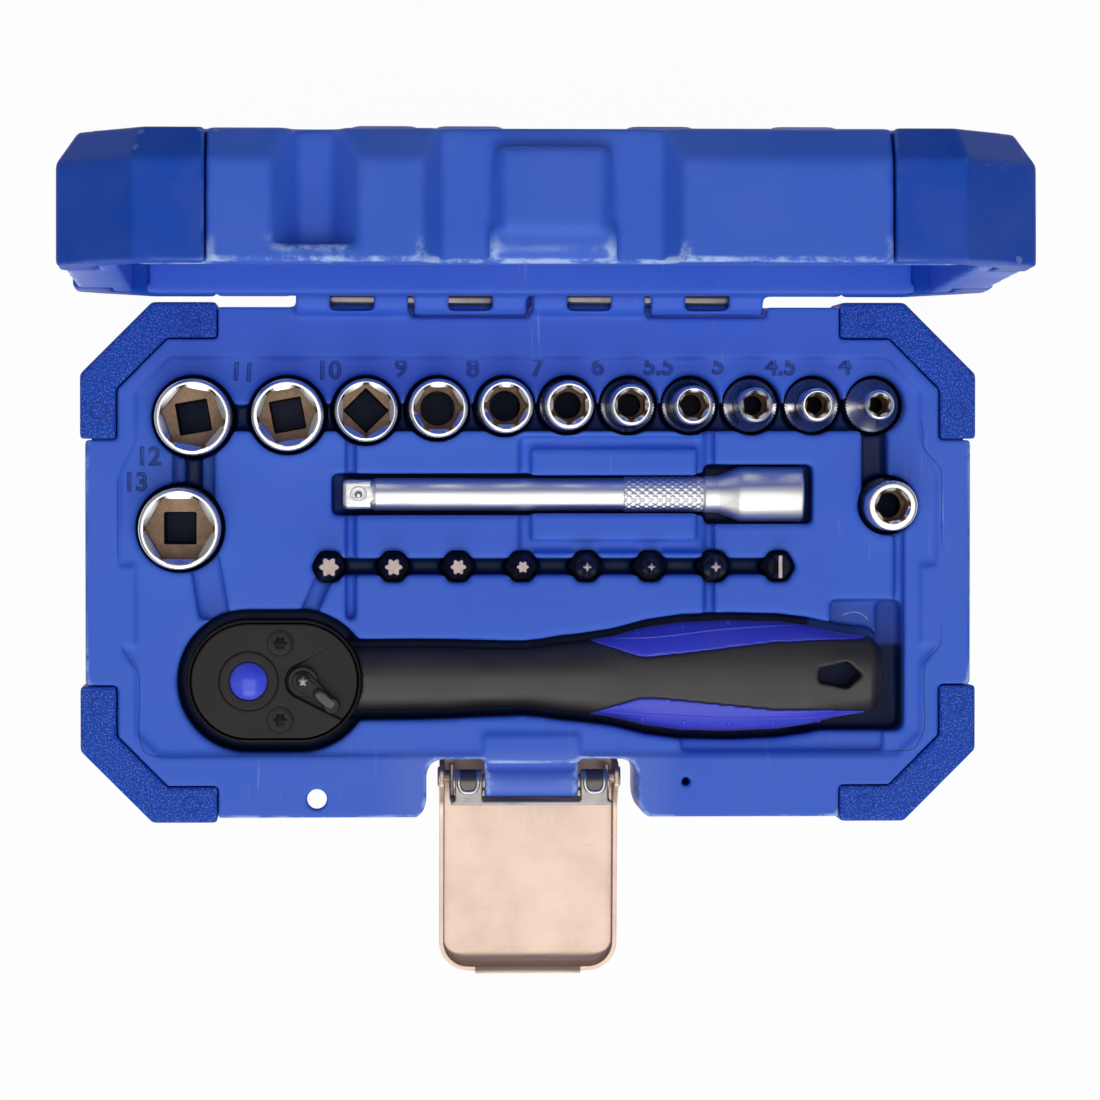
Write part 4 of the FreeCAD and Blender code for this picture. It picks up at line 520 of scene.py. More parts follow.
# finishes of one clouded colour, which is a colour or the name of a setting, made darker by a share;
# the other colour is given, or is the colour made darker or lighter by a share
STEEL = dict(colour=(0.50, 0.46, 0.44), to_dark=0.40, roughness=0.34, metallic=0.85, cloud=(160.0,),
             blend=(0.42, 0.72, 0.5), gloss=(0.28, 0.42))
ENAMEL = dict(colour="black_colour", to_light=0.008, roughness=0.46, specular=0.22, cloud=(110.0,),
              blend=(0.4, 0.7, 0.5), gloss=(0.40, 0.54), relief=(2600.0, 0.12, 0.00004))
GLOSS = dict(colour=(0.006, 0.006, 0.0065), other=(0.016, 0.015, 0.015), roughness=0.16, cloud=(500.0, 3.0),
             blend=(0.4, 0.7, 0.6), gloss=(0.12, 0.24))
PLAIN = {
    "satin_chrome": dict(colour="chrome_colour", to_dark=0.25, roughness=0.27, metallic=1.0, cloud=(130.0,),
                         blend=(0.45, 0.75, 0.28), gloss=(0.216, 0.3915), relief=(2400.0, 0.06, 0.00003)),
    "drawn_chrome": dict(colour="chrome_colour", to_dark=0.3, roughness=0.42, metallic=1.0, cloud=(900.0, 3.0, 0.6),
                         stretch=(0.04, 1.0, 1.0), blend=(0.42, 0.72, 0.22), gloss=(0.36, 0.50),
                         relief=(0, 0.10, 0.00003)),
    "broached_steel": dict(colour="broach_colour", to_dark=0.40, roughness=0.50, metallic=0.30,
                           cloud=(1300.0, 3.0, 0.6), stretch=(1.0, 1.0, 0.06), blend=(0.42, 0.70, 0.55),
                           gloss=(0.42, 0.60), smudge=(300.0, 3.0), relief=(0, 0.15, 0.00005)),
    # painted shade: near-black finish for the bores of the sockets and the square mouth of the extension
    "bore_painted_shade": dict(colour=(0.016, 0.015, 0.019), other=(0.05, 0.040, 0.035), roughness=0.60, metallic=0.2,
                          cloud=(900.0, 3.0, 0.6), stretch=(1.0, 1.0, 0.2), blend=(0.45, 0.75, 0.6), gloss=(0.5, 0.7)),
    "bright_wire": dict(colour=(0.58, 0.575, 0.565), other=(0.27, 0.26, 0.25), roughness=0.26, metallic=1.0,
                        cloud=(800.0, 3.0, 0.6), stretch=(0.05, 1.0, 1.0), blend=(0.45, 0.75, 0.4), gloss=(0.2, 0.36)),
    "link_steel": dict(STEEL, shade=0.25),
    "hinge_steel": dict(STEEL, shade=0.55),
    "roller_steel": dict(STEEL, shade=0.75),
    "black_enamel": ENAMEL,
    # painted shade: a darker copy of the black enamel for the ratchet head's body, the floors of the screw recesses and
    # the hub's hole; it also colours the dark seams of screws and disc
    "shaded_enamel": dict(ENAMEL, shade=0.85),
    "black_gloss": dict(GLOSS, specular=0.22),
    "tab_gloss": dict(GLOSS, specular=0.7),
    "soft_grip": dict(colour="grip_colour", to_light=0.03, roughness=0.40, sheen=0.12, cloud=(80.0,),
                      blend=(0.4, 0.7, 0.5), gloss=(0.34, 0.48), relief=(1800.0, 0.15, 0.00005)),
    "button_gloss": dict(colour="button_colour", to_light=0.08, roughness=0.24, cloud=(400.0, 3.0),
                         blend=(0.45, 0.8, 0.4), gloss=(0.18, 0.32)),
    "black_oxide": dict(colour="bit_colour", to_light=0.03, roughness=0.38, metallic=0.55, cloud=(300.0,),
                        blend=(0.4, 0.75, 0.5), gloss=(0.30, 0.46), relief=(2500.0, 0.12, 0.00004)),
    "bare_tip": dict(colour=(0.58, 0.46, 0.40), to_dark=0.30, roughness=0.42, metallic=0.30,
                     cloud=(1600.0, 3.0, 0.6), blend=(0.45, 0.75, 0.5), gloss=(0.34, 0.50)),
}
MADE = {}


def plain(name):
    """Finish of the table above, made when it is first asked for."""
    if name not in MADE:
        MADE[name] = clouded_row(name, **PLAIN[name]).material
    return MADE[name]


def clouded_row(name, colour, shade=0.0, other=None, to_dark=0.0, to_light=0.0, **more):
    """Finish of one row of the table."""
    if isinstance(colour, str):
        colour = getattr(settings()[1], colour)
    colour = darker(colour, shade)
    return clouded(name, colour, other or lighter(darker(colour, to_dark), to_light), **more)


def seam_line(name, colour, other):
    """Plastic of a fine line, clouded with a second colour."""
    return clouded(name, colour, other, roughness=0.55, cloud=(400.0,), blend=(0.42, 0.74, 0.35)).material


def black_nylon(tools):
    """Finely textured black core of the handle."""
    colour = lighter(tools.black_colour, 0.010)
    return clouded("black_nylon", colour, lighter(colour, 0.012), roughness=0.44, cloud=(70.0,),
                   blend=(0.38, 0.7, 0.6), gloss=(0.38, 0.50), relief=(2200.0, 0.25, 0.00006)).material


def latch_plate(tools):
    """Plated sheet steel with a rolled grain, water marks and a few short scratches."""
    colour = tools.latch_colour
    finish = clouded("latch_plate", colour, darker(colour, 0.30), roughness=0.40, metallic=0.85,
                     cloud=(70.0, 5.0, 0.6), blend=(0.48, 0.75, 0.16), gloss=(0.36, 0.46))
    rolled = finish.noise(900.0, 3.0, 0.6, finish.stretched((1.0, 0.05, 1.0)))
    finish.tint(finish.ramp(rolled, 0.5, 0.8, 0.0, 0.18), lighter(colour, 0.3))
    finish.scratches(darker(colour, 0.75), scale=60.0, stretch=(2.0, 24.0, 2.0), turn=14.0,
                     sparse=(75.0, 2.0, 0.58, 0.66), share=0.5)
    finish.bump(rolled, 0.06, 0.00003)
    return finish.material


# The stage

def aimed(place, aim):
    """Matrix of a camera or lamp at a place that looks at a point, with Y upwards in its picture."""
    ahead = (Vector(aim) - Vector(place)).normalized()
    right = ahead.cross(Vector((0.0, 1.0, 0.0))).normalized()
    turn = Matrix((right, right.cross(ahead), -ahead)).transposed()
    return Matrix.Translation(Vector(place)) @ turn.to_4x4()


def soft_lamp(name, place, aim, width, depth, power):
    lamp = set_all(bpy.data.lights.new(name, "AREA"), shape="RECTANGLE", size=width, size_y=depth, energy=power)
    in_scene(name, lamp).matrix_world = aimed(place, aim)


def pale_floor(stage):
    """Floor that looks white to the camera and in reflections, and keeps a soft shadow."""
    finish = clouded("pale_floor", stage.floor_colour, lighter(stage.floor_colour, 0.3), roughness=0.85,
                     cloud=(3.0, 2.0), blend=(0.4, 0.7, 0.3))
    glow = finish.add("ShaderNodeEmission", {"Color": (1.0, 1.0, 1.0, 1.0)})["Emission"]
    rays = finish.nodes.new("ShaderNodeLightPath").outputs
    seen = finish.most(finish.most(rays["Is Camera Ray"], rays["Is Glossy Ray"]), rays["Is Transmission Ray"])
    mix = finish.add("ShaderNodeMixShader", {0: finish.join(seen, 0.97), 1: finish.shader.outputs["BSDF"], 2: glow})
    finish.feed(finish.nodes["Material Output"], {"Surface": mix["Shader"]})
    return finish.material


class SOCKETSET_OT_stage(bpy.types.Operator):
    """Build the floor, the soft studio light and the camera"""
    bl_idname = "socket_set.stage"
    bl_label = "Stage"

    def execute(self, context):
        stage = settings()[2]
        scene = context.scene
        scene.view_settings.view_transform = "Standard"
        shape = bmesh.new()
        bmesh.ops.create_grid(shape, x_segments=8, y_segments=8, size=1.6)
        mesh = finished(shape, "floor")
        mesh.materials.append(pale_floor(stage))
        floor = in_scene("floor", mesh)

        scene.world = bpy.data.worlds.new("studio")
        scene.world.use_nodes = True
        sky = scene.world.node_tree.nodes["Background"].inputs
        sky["Color"].default_value = (0.97, 0.98, 1.0, 1.0)
        sky["Strength"].default_value = 0.22
        middle = (0.0, 0.0, 0.03)
        soft_lamp("key_lamp", (0.0, -0.45, 1.50), middle, 1.8, 1.4, stage.key_power)
        soft_lamp("front_lamp", (0.0, -1.20, 0.80), middle, 1.2, 0.6, stage.fill_power)

        camera = set_all(bpy.data.cameras.new("photo_camera"), lens=stage.lens, sensor_width=36.0, clip_start=0.01)
        scene.camera = in_scene("photo_camera", camera)
        scene.camera.matrix_world = aimed(stage.camera_place, stage.camera_aim)
        return {"FINISHED"}


# The case, with places in millimetres

SHELL_LIMIT, GUARD_LIMIT = 190000, 24000    # most triangles of a shell and of a guard
RIM_TOP, DECK_TOP = 30.0, 29.2
# corners of the finger room behind and in front of the end of the handle
TAIL_ROOM = (((76.5, -36.9, 15.0), (82.0, -8.4, 33.0)), ((58.0, -36.9, 15.0), (81.0, -32.0, 33.0)))
# fine seams round the deck, and the arc of the mould mark in the thumb recess, whose pale line is a painted highlight,
# in plan
DECK_SEAMS = {
    "left": ((-89.4, 18.0), (-89.4, 12.4), (-89.4, 6.4), (-89.4, 0.6)),
    "left_front": ((-89.2, -17.2), (-86.3, -22.2), (-84.9, -24.1), (-84.7, -30.5), (-84.7, -37.8), (-81.8, -42.0),
                   (-68.0, -42.2), (-54.0, -42.2), (-40.0, -42.1), (-27.3, -41.9)),
    "right_back": ((85.2, 31.9), (86.0, 28.4), (86.2, 24.9), (89.4, 20.9), (90.0, 18.7), (90.0, 10.4), (90.0, 2.4)),
    "right_front": ((90.0, -13.8), (90.0, -17.2), (89.3, -18.9), (86.8, -21.8), (86.3, -24.5), (86.3, -30.4),
                    (86.4, -35.9), (85.1, -39.3), (82.6, -41.2), (72.0, -41.4), (62.0, -41.4)),
}
THUMB_MARK = tuple((71.7 + 3.9 * math.cos(math.radians(turn)), -15.1 + 3.9 * math.sin(math.radians(turn)))
                   for turn in range(33, 140, 12))
# middle and size of the tongues behind the gaps of guards and hinge
TONGUES = [((side * 92.3, 26.8, 23.5), (5.6, 1.6, 7.0)) for side in (-1.0, 1.0)]
TONGUES += [((x, 56.9, 23.2), (2.6, 4.2, 4.5)) for x in (-25.2, 0.35, 25.95)]
# round marks of the mould on the guards, on both sides of the middle
MOULD_MARKS = ((73.4, 52.7), (93.4, 32.9), (73.4, -52.7), (93.4, -31.2))


def between(value, low, high, least=0.0):
    """How far a value is on its way from a low to a high limit in millimetres."""
    return min(1.0, max(least, (value - low * MM) / ((high - low) * MM)))


def deck_edges(place):
    """How much rounder the edges of the pockets are than the rest of the base."""
    inside = abs(place.x) < 89.0 * MM and abs(place.y) < 42.5 * MM
    return between(place.z, 20.0, 23.0) if inside else 0.0


def guards(half, finish, grain, rounds):
    """The four corner guards of the base or of the lid."""
    for corner in ("front_left", "front_right", "back_left", "back_right"):
        softened(half + "_guard_" + corner, [half + "_corner_" + corner], half, "guard_plastic", finish, grain,
                 rounds, GUARD_LIMIT)


class SOCKETSET_OT_base(bpy.types.Operator):
    """Build the moulded base with its corner guards"""
    bl_idname = "socket_set.base"
    bl_label = "Base"

    def execute(self, context):
        case = settings()[0]
        shell = moulded_shell(case)
        base = softened("base_shell", ["base_tray", "tool_insert"], "base", "case_plastic", shell,
                        case.shell_softness, case.shell_rounds, SHELL_LIMIT, (9, deck_edges), TAIL_ROOM)
        tree = skin_of(base)
        line = seam_line("seam_line", darker(case.shell_colour, 0.62), case.shell_colour)
        for side, points in DECK_SEAMS.items():
            bead("deck_seam_" + side, tree, points, "base", "case_plastic", line, radius=0.11, sunk=0.03)
        # painted highlight: the raised arc of the mould mark takes a pale line colour that stands in for the highlight
        # along its top
        pale = seam_line("painted_highlight_line", case.scuff_colour, case.shell_colour)
        bead("thumb_mark", tree, THUMB_MARK, "base", "case_plastic", pale, radius=0.14, sunk=0.03)
        shape = bmesh.new()
        for middle, size in TONGUES:
            add_box(shape, middle, size)
        show_shape("shell_tongues", shape, "base", "case_plastic", shell, smooth=False)
        guards("base", grained_guard(case), case.guard_softness, rounds=10)
        shape = bmesh.new()
        rings = [(0.0, circle(1.95)), (0.10, circle(1.85)), (0.10, circle(1.65)), (-0.02, circle(1.55))]
        for x, y in MOULD_MARKS:
            for side in (-1.0, 1.0):
                turned(shape, rings, 40, (side * x, y, RIM_TOP))
        mark_line = seam_line("mark_line", darker(case.guard_colour, 0.45), case.guard_colour)
        show_shape("mould_marks", shape, "base", "guard_plastic", mark_line)
        for node in ("hinge_pin_left", "hinge_pin_right"):
            bevelled(node, "base", "pin_steel", plain("hinge_steel"), width=0.2)
        return {"FINISHED"}


def lid_front(place):
    """How much rounder the front wall of the open lid is, away from its rim."""
    return between(place.z, 124.0, 132.0) * between(place.y, 61.0, 66.0, 0.15)


class SOCKETSET_OT_lid(bpy.types.Operator):
    """Build the moulded lid with its corner guards"""
    bl_idname = "socket_set.lid"
    bl_label = "Lid"

    def execute(self, context):
        case = settings()[0]
        softened("lid_moulding", ["lid_shell"], "lid", "case_plastic", bpy.data.materials["shell_plastic"],
                 case.shell_softness, case.shell_rounds, SHELL_LIMIT, (30, lid_front))
        guards("lid", smooth_guard(case), case.guard_softness, rounds=14)
        return {"FINISHED"}


# text, middle along X and Y, turn in degrees
NUMERALS = [
    ("11", -62.3, 41.2, -4.0), ("10", -43.6, 41.6, 0.0), ("9", -27.9, 42.1, 0.0), ("8", -12.3, 42.1, 0.0),
    ("7", 1.8, 42.3, 0.0), ("6", 14.9, 42.5, 0.0), ("5.5", 28.2, 42.5, 0.0), ("5", 41.2, 42.7, 0.0),
    ("4.5", 54.9, 42.5, 0.0), ("4", 69.0, 42.7, 0.0), ("12", -82.7, 22.9, 0.0), ("13", -85.5, 17.3, 0.0),
]
FONT_SIZE = 1.38    # size of the font over the height of its figures


class SOCKETSET_OT_numerals(bpy.types.Operator):
    """Raise the outlined size numbers beside the sockets, their lines darkened with painted shade"""
    bl_idname = "socket_set.numerals"
    bl_label = "Numerals"

    def execute(self, context):
        case = settings()[0]
        # painted shade: the raised lines of the numbers get a blue 60% darker than the shell
        raised = clouded("numeral_line", darker(case.shell_colour, 0.60), case.shell_colour, roughness=0.5,
                         cloud=(300.0,), blend=(0.4, 0.7, 0.4)).material
        for text, x, y, turn in NUMERALS:
            curve = set_all(bpy.data.curves.new("numeral", "FONT"), body=text, align_x="CENTER", align_y="CENTER",
                            size=case.numeral_height * FONT_SIZE, fill_mode="NONE", bevel_depth=case.numeral_line,
                            bevel_resolution=1, resolution_u=4)
            mesh = curve_mesh(curve)
            mesh.transform(at(Vector((x, y, DECK_TOP)) * MM, turn))
            show("numeral_" + text.replace(".", "_"), mesh, "base", "case_plastic", raised)
        return {"FINISHED"}


# The latch, with lengths in millimetres

LATCH_X = 0.6
LATCH_PIN = Vector((LATCH_X, -48.2, 24.4)) * MM
LATCH_PIN_RADIUS, LATCH_PIN_LENGTH = 1.8, 34.2
LEVER_PIVOT = Vector((LATCH_X, -47.8, 11.4)) * MM
LEVER_SLOPE = 5.5    # degrees
LEVER_HALF, LEVER_FAR, LEVER_PLATE = 19.3, -43.7, -6.1
LEVER_LIP = Vector((0.0, -1.05, 0.15))
SHEET = 0.9
# places along the lever and heights of its side flange over the plate
FLANGE = [(3.2, 7.6), (1.6, 9.1), (-1.6, 9.1), (-6.4, 3.5), (-30.0, 3.5), (-38.2, 3.4)]
# wire loop of the link about its own middle, distance of that middle from the latch, and the dark roller inside it
LATCH_LOOP = ((-2.1, -44.9), (-2.1, -47.0), (-2.05, -48.8), (-1.4, -50.0), (0.0, -50.3),
              (1.4, -50.0), (2.05, -48.8), (2.1, -47.0), (2.1, -44.9))
LOOP_X = 13.8
ROLLER_HALF, ROLLER_FRONT, ROLLER_BACK = 1.9, -49.8, -44.6


def lever_outline():
    """Outer edge of the lever from its left end round the far end: place, inward way, fold and height."""
    corner, side_fold, far_fold = 6.0, 0.9, 3.5
    half = []
    for (start, low), (end, high) in zip(FLANGE, FLANGE[1:]):
        for share in (0.0, 0.25, 0.5, 0.75):
            half.append((Vector((-LEVER_HALF, start + (end - start) * share, 0.0)), Vector((1.0, 0.0, 0.0)),
                         side_fold, low + (high - low) * share))
    middle = Vector((corner - LEVER_HALF, LEVER_FAR + corner, 0.0))
    for step in range(13):
        turn = math.radians(90.0 * step / 12)
        out = Vector((-math.cos(turn), -math.sin(turn), 0.0))
        fold = side_fold + (far_fold - side_fold) * math.sin(turn) ** 2
        half.append((middle + out * corner, -out, fold, 3.4 + 0.1 * step / 12))
    for x in (-11.7, -8.0, -4.0):
        half.append((Vector((x, LEVER_FAR, 0.0)), Vector((0.0, 1.0, 0.0)), far_fold, far_fold))
    flip = Vector((-1.0, 1.0, 1.0))
    return half + [(place * flip, inward * flip, fold, height) for place, inward, fold, height in reversed(half)]


def lever_sheet():
    """Pressed lever about its pivot: plate with folded flanges, a curled far end and a lip."""
    outline = lever_outline()
    floor = UP * LEVER_PLATE
    shape = bmesh.new()
    rings = []
    for step in range(9):
        turn = math.radians(90.0 * step / 8)
        rings.append([shape.verts.new(floor + place + inward * fold * (1.0 - math.sin(turn))
                                      + UP * fold * (1.0 - math.cos(turn)))
                      for place, inward, fold, height in outline])
    rings.append([shape.verts.new(floor + place + UP * max(height, fold + 0.02))
                  for place, inward, fold, height in outline])
    shape.faces.new(rings[0])
    for low, high in zip(rings, rings[1:]):
        for place in range(len(outline) - 1):
            shape.faces.new((low[place], low[place + 1], high[place + 1], high[place]))
    lip = [edge for edge in shape.edges
           if all(vert in rings[-1] and abs(vert.co.x) < 11.8 and vert.co.y < -40.0 for vert in edge.verts)]
    for vert in points_of(bmesh.ops.extrude_edge_only(shape, edges=lip)["geom"]):
        vert.co += LEVER_LIP
    bmesh.ops.scale(shape, vec=(MM, MM, MM), verts=shape.verts)
    return shape


class SOCKETSET_OT_latch(bpy.types.Operator):
    """Build the draw latch: link with its loops, lever, rivets and pin"""
    bl_idname = "socket_set.latch"
    bl_label = "Latch"

    def execute(self, context):
        plate = latch_plate(settings()[1])
        bracket = softened("latch_bracket", ["latch_link"], "latch_link", "latch_steel", plain("link_steel"),
                           grain=0.24 * MM, rounds=3, limit=60000)
        bracket.data.materials.append(plain("roller_steel"))
        bevelled("latch_rivets", "latch_link", "latch_steel", plate, width=0.3, segments=3)
        tree = skin_of(bracket)
        for side, way in (("left", -1.0), ("right", 1.0)):
            x = LATCH_X + way * LOOP_X
            for face in bracket.data.polygons:
                place = face.center / MM
                if abs(place.x - x) < ROLLER_HALF and ROLLER_FRONT < place.y < ROLLER_BACK and face.normal.z > 0.05:
                    face.material_index = 1
            loop = [(x + across, y) for across, y in LATCH_LOOP]
            bead("latch_loop_" + side, tree, loop, "latch_link", "latch_steel", plain("bright_wire"),
                 radius=0.52, sunk=0.10)

        shape = bmesh.new()
        bmesh.ops.create_cone(shape, cap_ends=True, segments=40, radius1=LATCH_PIN_RADIUS * MM,
                              radius2=LATCH_PIN_RADIUS * MM, depth=LATCH_PIN_LENGTH * MM)
        rounded(shape, [edge for edge in shape.edges if is_level(edge)], width=0.2, segments=2)
        pin = show_shape("latch_pin_turned", shape, "base", "latch_steel", plate, sharp=40.0,
                         place=at(LATCH_PIN, 90.0, "Y"))
        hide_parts("latch_pin")

        lever = show_shape("latch_plate", lever_sheet(), "latch_lever", "latch_steel", plate,
                           place=at(LEVER_PIVOT, LEVER_SLOPE, "X"))
        set_all(lever.modifiers.new("sheet", "SOLIDIFY"), thickness=SHEET * MM, offset=0.0)
        bevel_edges(lever, width=0.15, segments=2, angle=60.0)
        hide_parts("latch_lever")
        return {"FINISHED"}


# The ratchet, with places in millimetres

HEAD, HEAD_SEAM = (-61.05, -25.75), 6.45
LEVER_HUB = (-49.25, -25.75)
LEVER_WAY = Vector((math.cos(math.radians(-39.0)), math.sin(math.radians(-39.0)), 0.0)) * MM


def add_pad(shape, rows, half, matrix, power=1.0):
    """Cushion given by half its size in metres; a power under 1 makes it squarer."""
    pad = bmesh.ops.create_uvsphere(shape, u_segments=2 * rows, v_segments=rows, radius=1.0)["verts"]
    for vert in pad:
        vert.co = [math.copysign(abs(value) ** power, value) for value in vert.co]
    bmesh.ops.scale(shape, vec=half, verts=pad)
    bmesh.ops.transform(shape, matrix=matrix, verts=pad)


class SOCKETSET_OT_ratchet(bpy.types.Operator):
    """Build the ratchet head with its cover, screws, lever and button"""
    bl_idname = "socket_set.ratchet"
    bl_label = "Ratchet"

    def execute(self, context):
        black, shadow = plain("black_enamel"), plain("shaded_enamel")
        # painted shade: the head body takes the darker copy of the enamel
        softened("ratchet_head", ["ratchet_body"], "ratchet", "black_metal", shadow,
                 grain=0.34 * MM, rounds=4, limit=90000)
        softened("head_plate", ["ratchet_cover"], "ratchet", "black_metal", black,
                 grain=0.20 * MM, rounds=1, limit=80000)
        arm = softened("thumb_lever", ["reverse_lever"], "reverse_lever", "black_metal", plain("black_gloss"),
                       grain=0.16 * MM, rounds=4, limit=40000)
        self.lever_details(arm)
        bevelled("cover_screws", "ratchet", "black_metal", black, width=0.10)
        self.screw_stars(shadow)
        softened("drive_disc", ["drive_gear"], "drive", "black_metal", black,
                 grain=0.20 * MM, rounds=1, limit=60000)
        bevelled("release_button", "release_button", "button_plastic", plain("button_gloss"),
                 width=0.25, segments=3)
        dress("pawl", black)
        for node in ("pawl_plunger", "pawl_spring", "release_spring", "drive_ball"):
            dress(node, plain("bright_wire"))
        return {"FINISHED"}

    def lever_details(self, arm):
        """Plate with a sunk star pin over the hub, a dark disc of painted shade in the hub's hole, and a glossy oval
        tab at the end of the thumb lever.
        """
        top = top_at(skin_of(arm), *LEVER_HUB)[0]
        shape = bmesh.new()
        for along, reach in ((0.0, 2.35), (6.6, 1.45)):
            disc = bmesh.ops.create_circle(shape, segments=48, radius=reach * MM, cap_ends=False)["verts"]
            bmesh.ops.translate(shape, vec=LEVER_WAY * along, verts=disc)
        hull = bmesh.ops.convex_hull(shape, input=shape.verts)
        bmesh.ops.delete(shape, geom=list(set(hull["geom_interior"] + hull["geom_unused"])), context="VERTS")
        flattened(shape)
        rise = bmesh.ops.extrude_face_region(shape, geom=shape.faces[:])["geom"]
        bmesh.ops.translate(shape, vec=UP * 0.5 * MM, verts=points_of(rise))
        rounded(shape, [edge for edge in shape.edges if all(vert.co.z > 0.4 * MM for vert in edge.verts)],
                width=0.22, segments=3)
        show_shape("lever_plate", shape, "reverse_lever", "black_metal", plain("black_gloss"), sharp=40.0,
                   place=at(top - UP * 0.45 * MM))

        top = top + UP * 0.05 * MM
        pin = spun(lobed(1.05, 0.34, 5), 18.0)
        neck = spun(lobed(0.70, 0.20, 5), 18.0)
        for name, rings, count, sharp, material in (
                ("hub_hole", [(0.0, circle(1.55)), (0.06, circle(1.50)), (0.06, circle(1.30))], 48, None,
                 "shaded_enamel"),
                ("hub_pin", [(0.02, pin), (0.10, pin), (0.26, neck), (0.34, circle(0.30))], 60, 40.0, "link_steel")):
            shape = bmesh.new()
            capped(shape, turned(shape, rings, count, top / MM)[-1])
            show_shape(name, shape, "reverse_lever", "black_metal", plain(material), sharp=sharp)

        shape = bmesh.new()
        rise = max(vert.co.z for vert in arm.data.vertices) + 0.12 * MM - top.z
        add_pad(shape, 20, (3.1 * MM, 1.45 * MM, rise), at(top + LEVER_WAY * 6.2, -40.0), power=0.62)
        show_shape("lever_tab", shape, "reverse_lever", "black_metal", plain("tab_gloss"))

    def screw_stars(self, shadow):
        """Dark floors of painted shade in the star recesses of the two cover screws, and the dark seams of screws and
        disc.
        """
        low, high = (Vector(corner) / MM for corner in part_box("cover_screws"))
        x, radius = (low.x + high.x) / 2, (high.x - low.x) / 2
        screws = [(x, low.y + radius), (x, high.y - radius)]
        shape = bmesh.new()
        star = [(0.0, lobed(1.30, 0.34, 6)), (0.02, lobed(1.26, 0.33, 6))]
        for place in screws:
            capped(shape, turned(shape, star, 72, (*place, high.z - 0.22))[-1])
        for place, reach in ((screws[0], radius), (screws[1], radius), (HEAD, HEAD_SEAM)):
            seam = [(0.0, circle(reach - 0.02)), (0.012, circle(reach)), (0.012, circle(reach + 0.20)),
                    (0.0, circle(reach + 0.22))]
            turned(shape, seam, 96, (*place, high.z))
        show_shape("screw_stars", shape, "ratchet", "black_metal", shadow)


# places of the raised line and of the nubs of each grip along X and Y
GRIP_LINES = {
    "grip_back": (((11.8, -16.8), (26.8, -16.4), (43.6, -14.6), (62.9, -13.9), (73.4, -15.5)),
                  ((23.8, -15.2), (33.6, -13.9), (43.6, -13.2), (53.4, -13.0), (62.7, -13.4))),
    "grip_front": (((12.5, -32.6), (26.8, -33.2), (43.6, -34.0), (60.1, -34.0), (72.3, -33.0)),
                   ((24.7, -34.4), (33.8, -35.2), (43.8, -35.5), (53.4, -35.3), (63.5, -34.7))),
}
NUB = Vector((1.1, 0.6, 0.4)) * MM


class SOCKETSET_OT_handle(bpy.types.Operator):
    """Build the two-colour handle"""
    bl_idname = "socket_set.handle"
    bl_label = "Handle"

    def execute(self, context):
        nylon = black_nylon(settings()[1])
        softened("handle_bar", ["handle_core"], "ratchet", "black_plastic", nylon,
                 grain=0.36 * MM, rounds=8, limit=90000)
        rubber = plain("soft_grip")
        for side, (ridge, nubs) in GRIP_LINES.items():
            piece = softened(side + "_rubber", [side], "ratchet", "grip_rubber", rubber,
                             grain=0.36 * MM, rounds=8, limit=50000)
            tree = skin_of(piece)
            bead(side + "_ridge", tree, ridge, "ratchet", "grip_rubber", rubber, radius=0.34, sunk=0.12)
            shape = bmesh.new()
            for x, y in nubs:
                hit, normal = top_at(tree, x, y)
                if hit:
                    turn = normal.to_track_quat("Z", "X").to_matrix().to_4x4()
                    add_pad(shape, 10, NUB, Matrix.Translation(hit) @ turn)
            show_shape(side + "_nubs", shape, "ratchet", "grip_rubber", rubber)
        return {"FINISHED"}


# Turned tools: outlines give a radius at an angle; all lengths are in millimetres

def circle(radius):
    return lambda angle: radius


def square_hole(side, corner):
    """Square with slightly eased corners; corner is a share of the full diagonal."""
    half = side / 2.0
    return lambda angle: min(half / max(abs(math.cos(angle)), abs(math.sin(angle))), half * 2 ** 0.5 * corner)


def hexagon_hole(flats, corner=0.985):
    """Hexagon with corners on the X axis."""
    half, step = flats / 2.0, math.pi / 3
    return lambda angle: min(half / math.cos((angle % step) - step / 2), half * 2 / 3 ** 0.5 * corner)


def wave(value):
    """Straight-sided wave from 1 at whole numbers to 0 halfway."""
    return abs(value % 1.0 - 0.5) * 2.0


def toothed(radius, depth, teeth):
    """Round outline with straight teeth."""
    return lambda angle: radius - depth * wave(angle * teeth / (2 * math.pi))


def lobed(radius, depth, lobes):
    """Round outline with soft lobes."""
    return lambda angle: radius - depth * (0.5 - 0.5 * math.cos(lobes * angle))


def blade(half_length, half_width):
    """Flat rectangular outline."""
    return lambda angle: min(half_length / max(abs(math.cos(angle)), 1e-6),
                             half_width / max(abs(math.sin(angle)), 1e-6))


def diamond(radius, depth, count, pitch, along):
    """Outline of a diamond knurl at a distance along the bar."""
    def outline(angle):
        around = angle * count / (2 * math.pi)
        return radius - depth + depth * 1.6 * min(wave(around + along / pitch), wave(around - along / pitch), 0.625)
    return outline


def spun(outline, degrees):
    """An outline turned about the axis."""
    return lambda angle: outline(angle - math.radians(degrees))


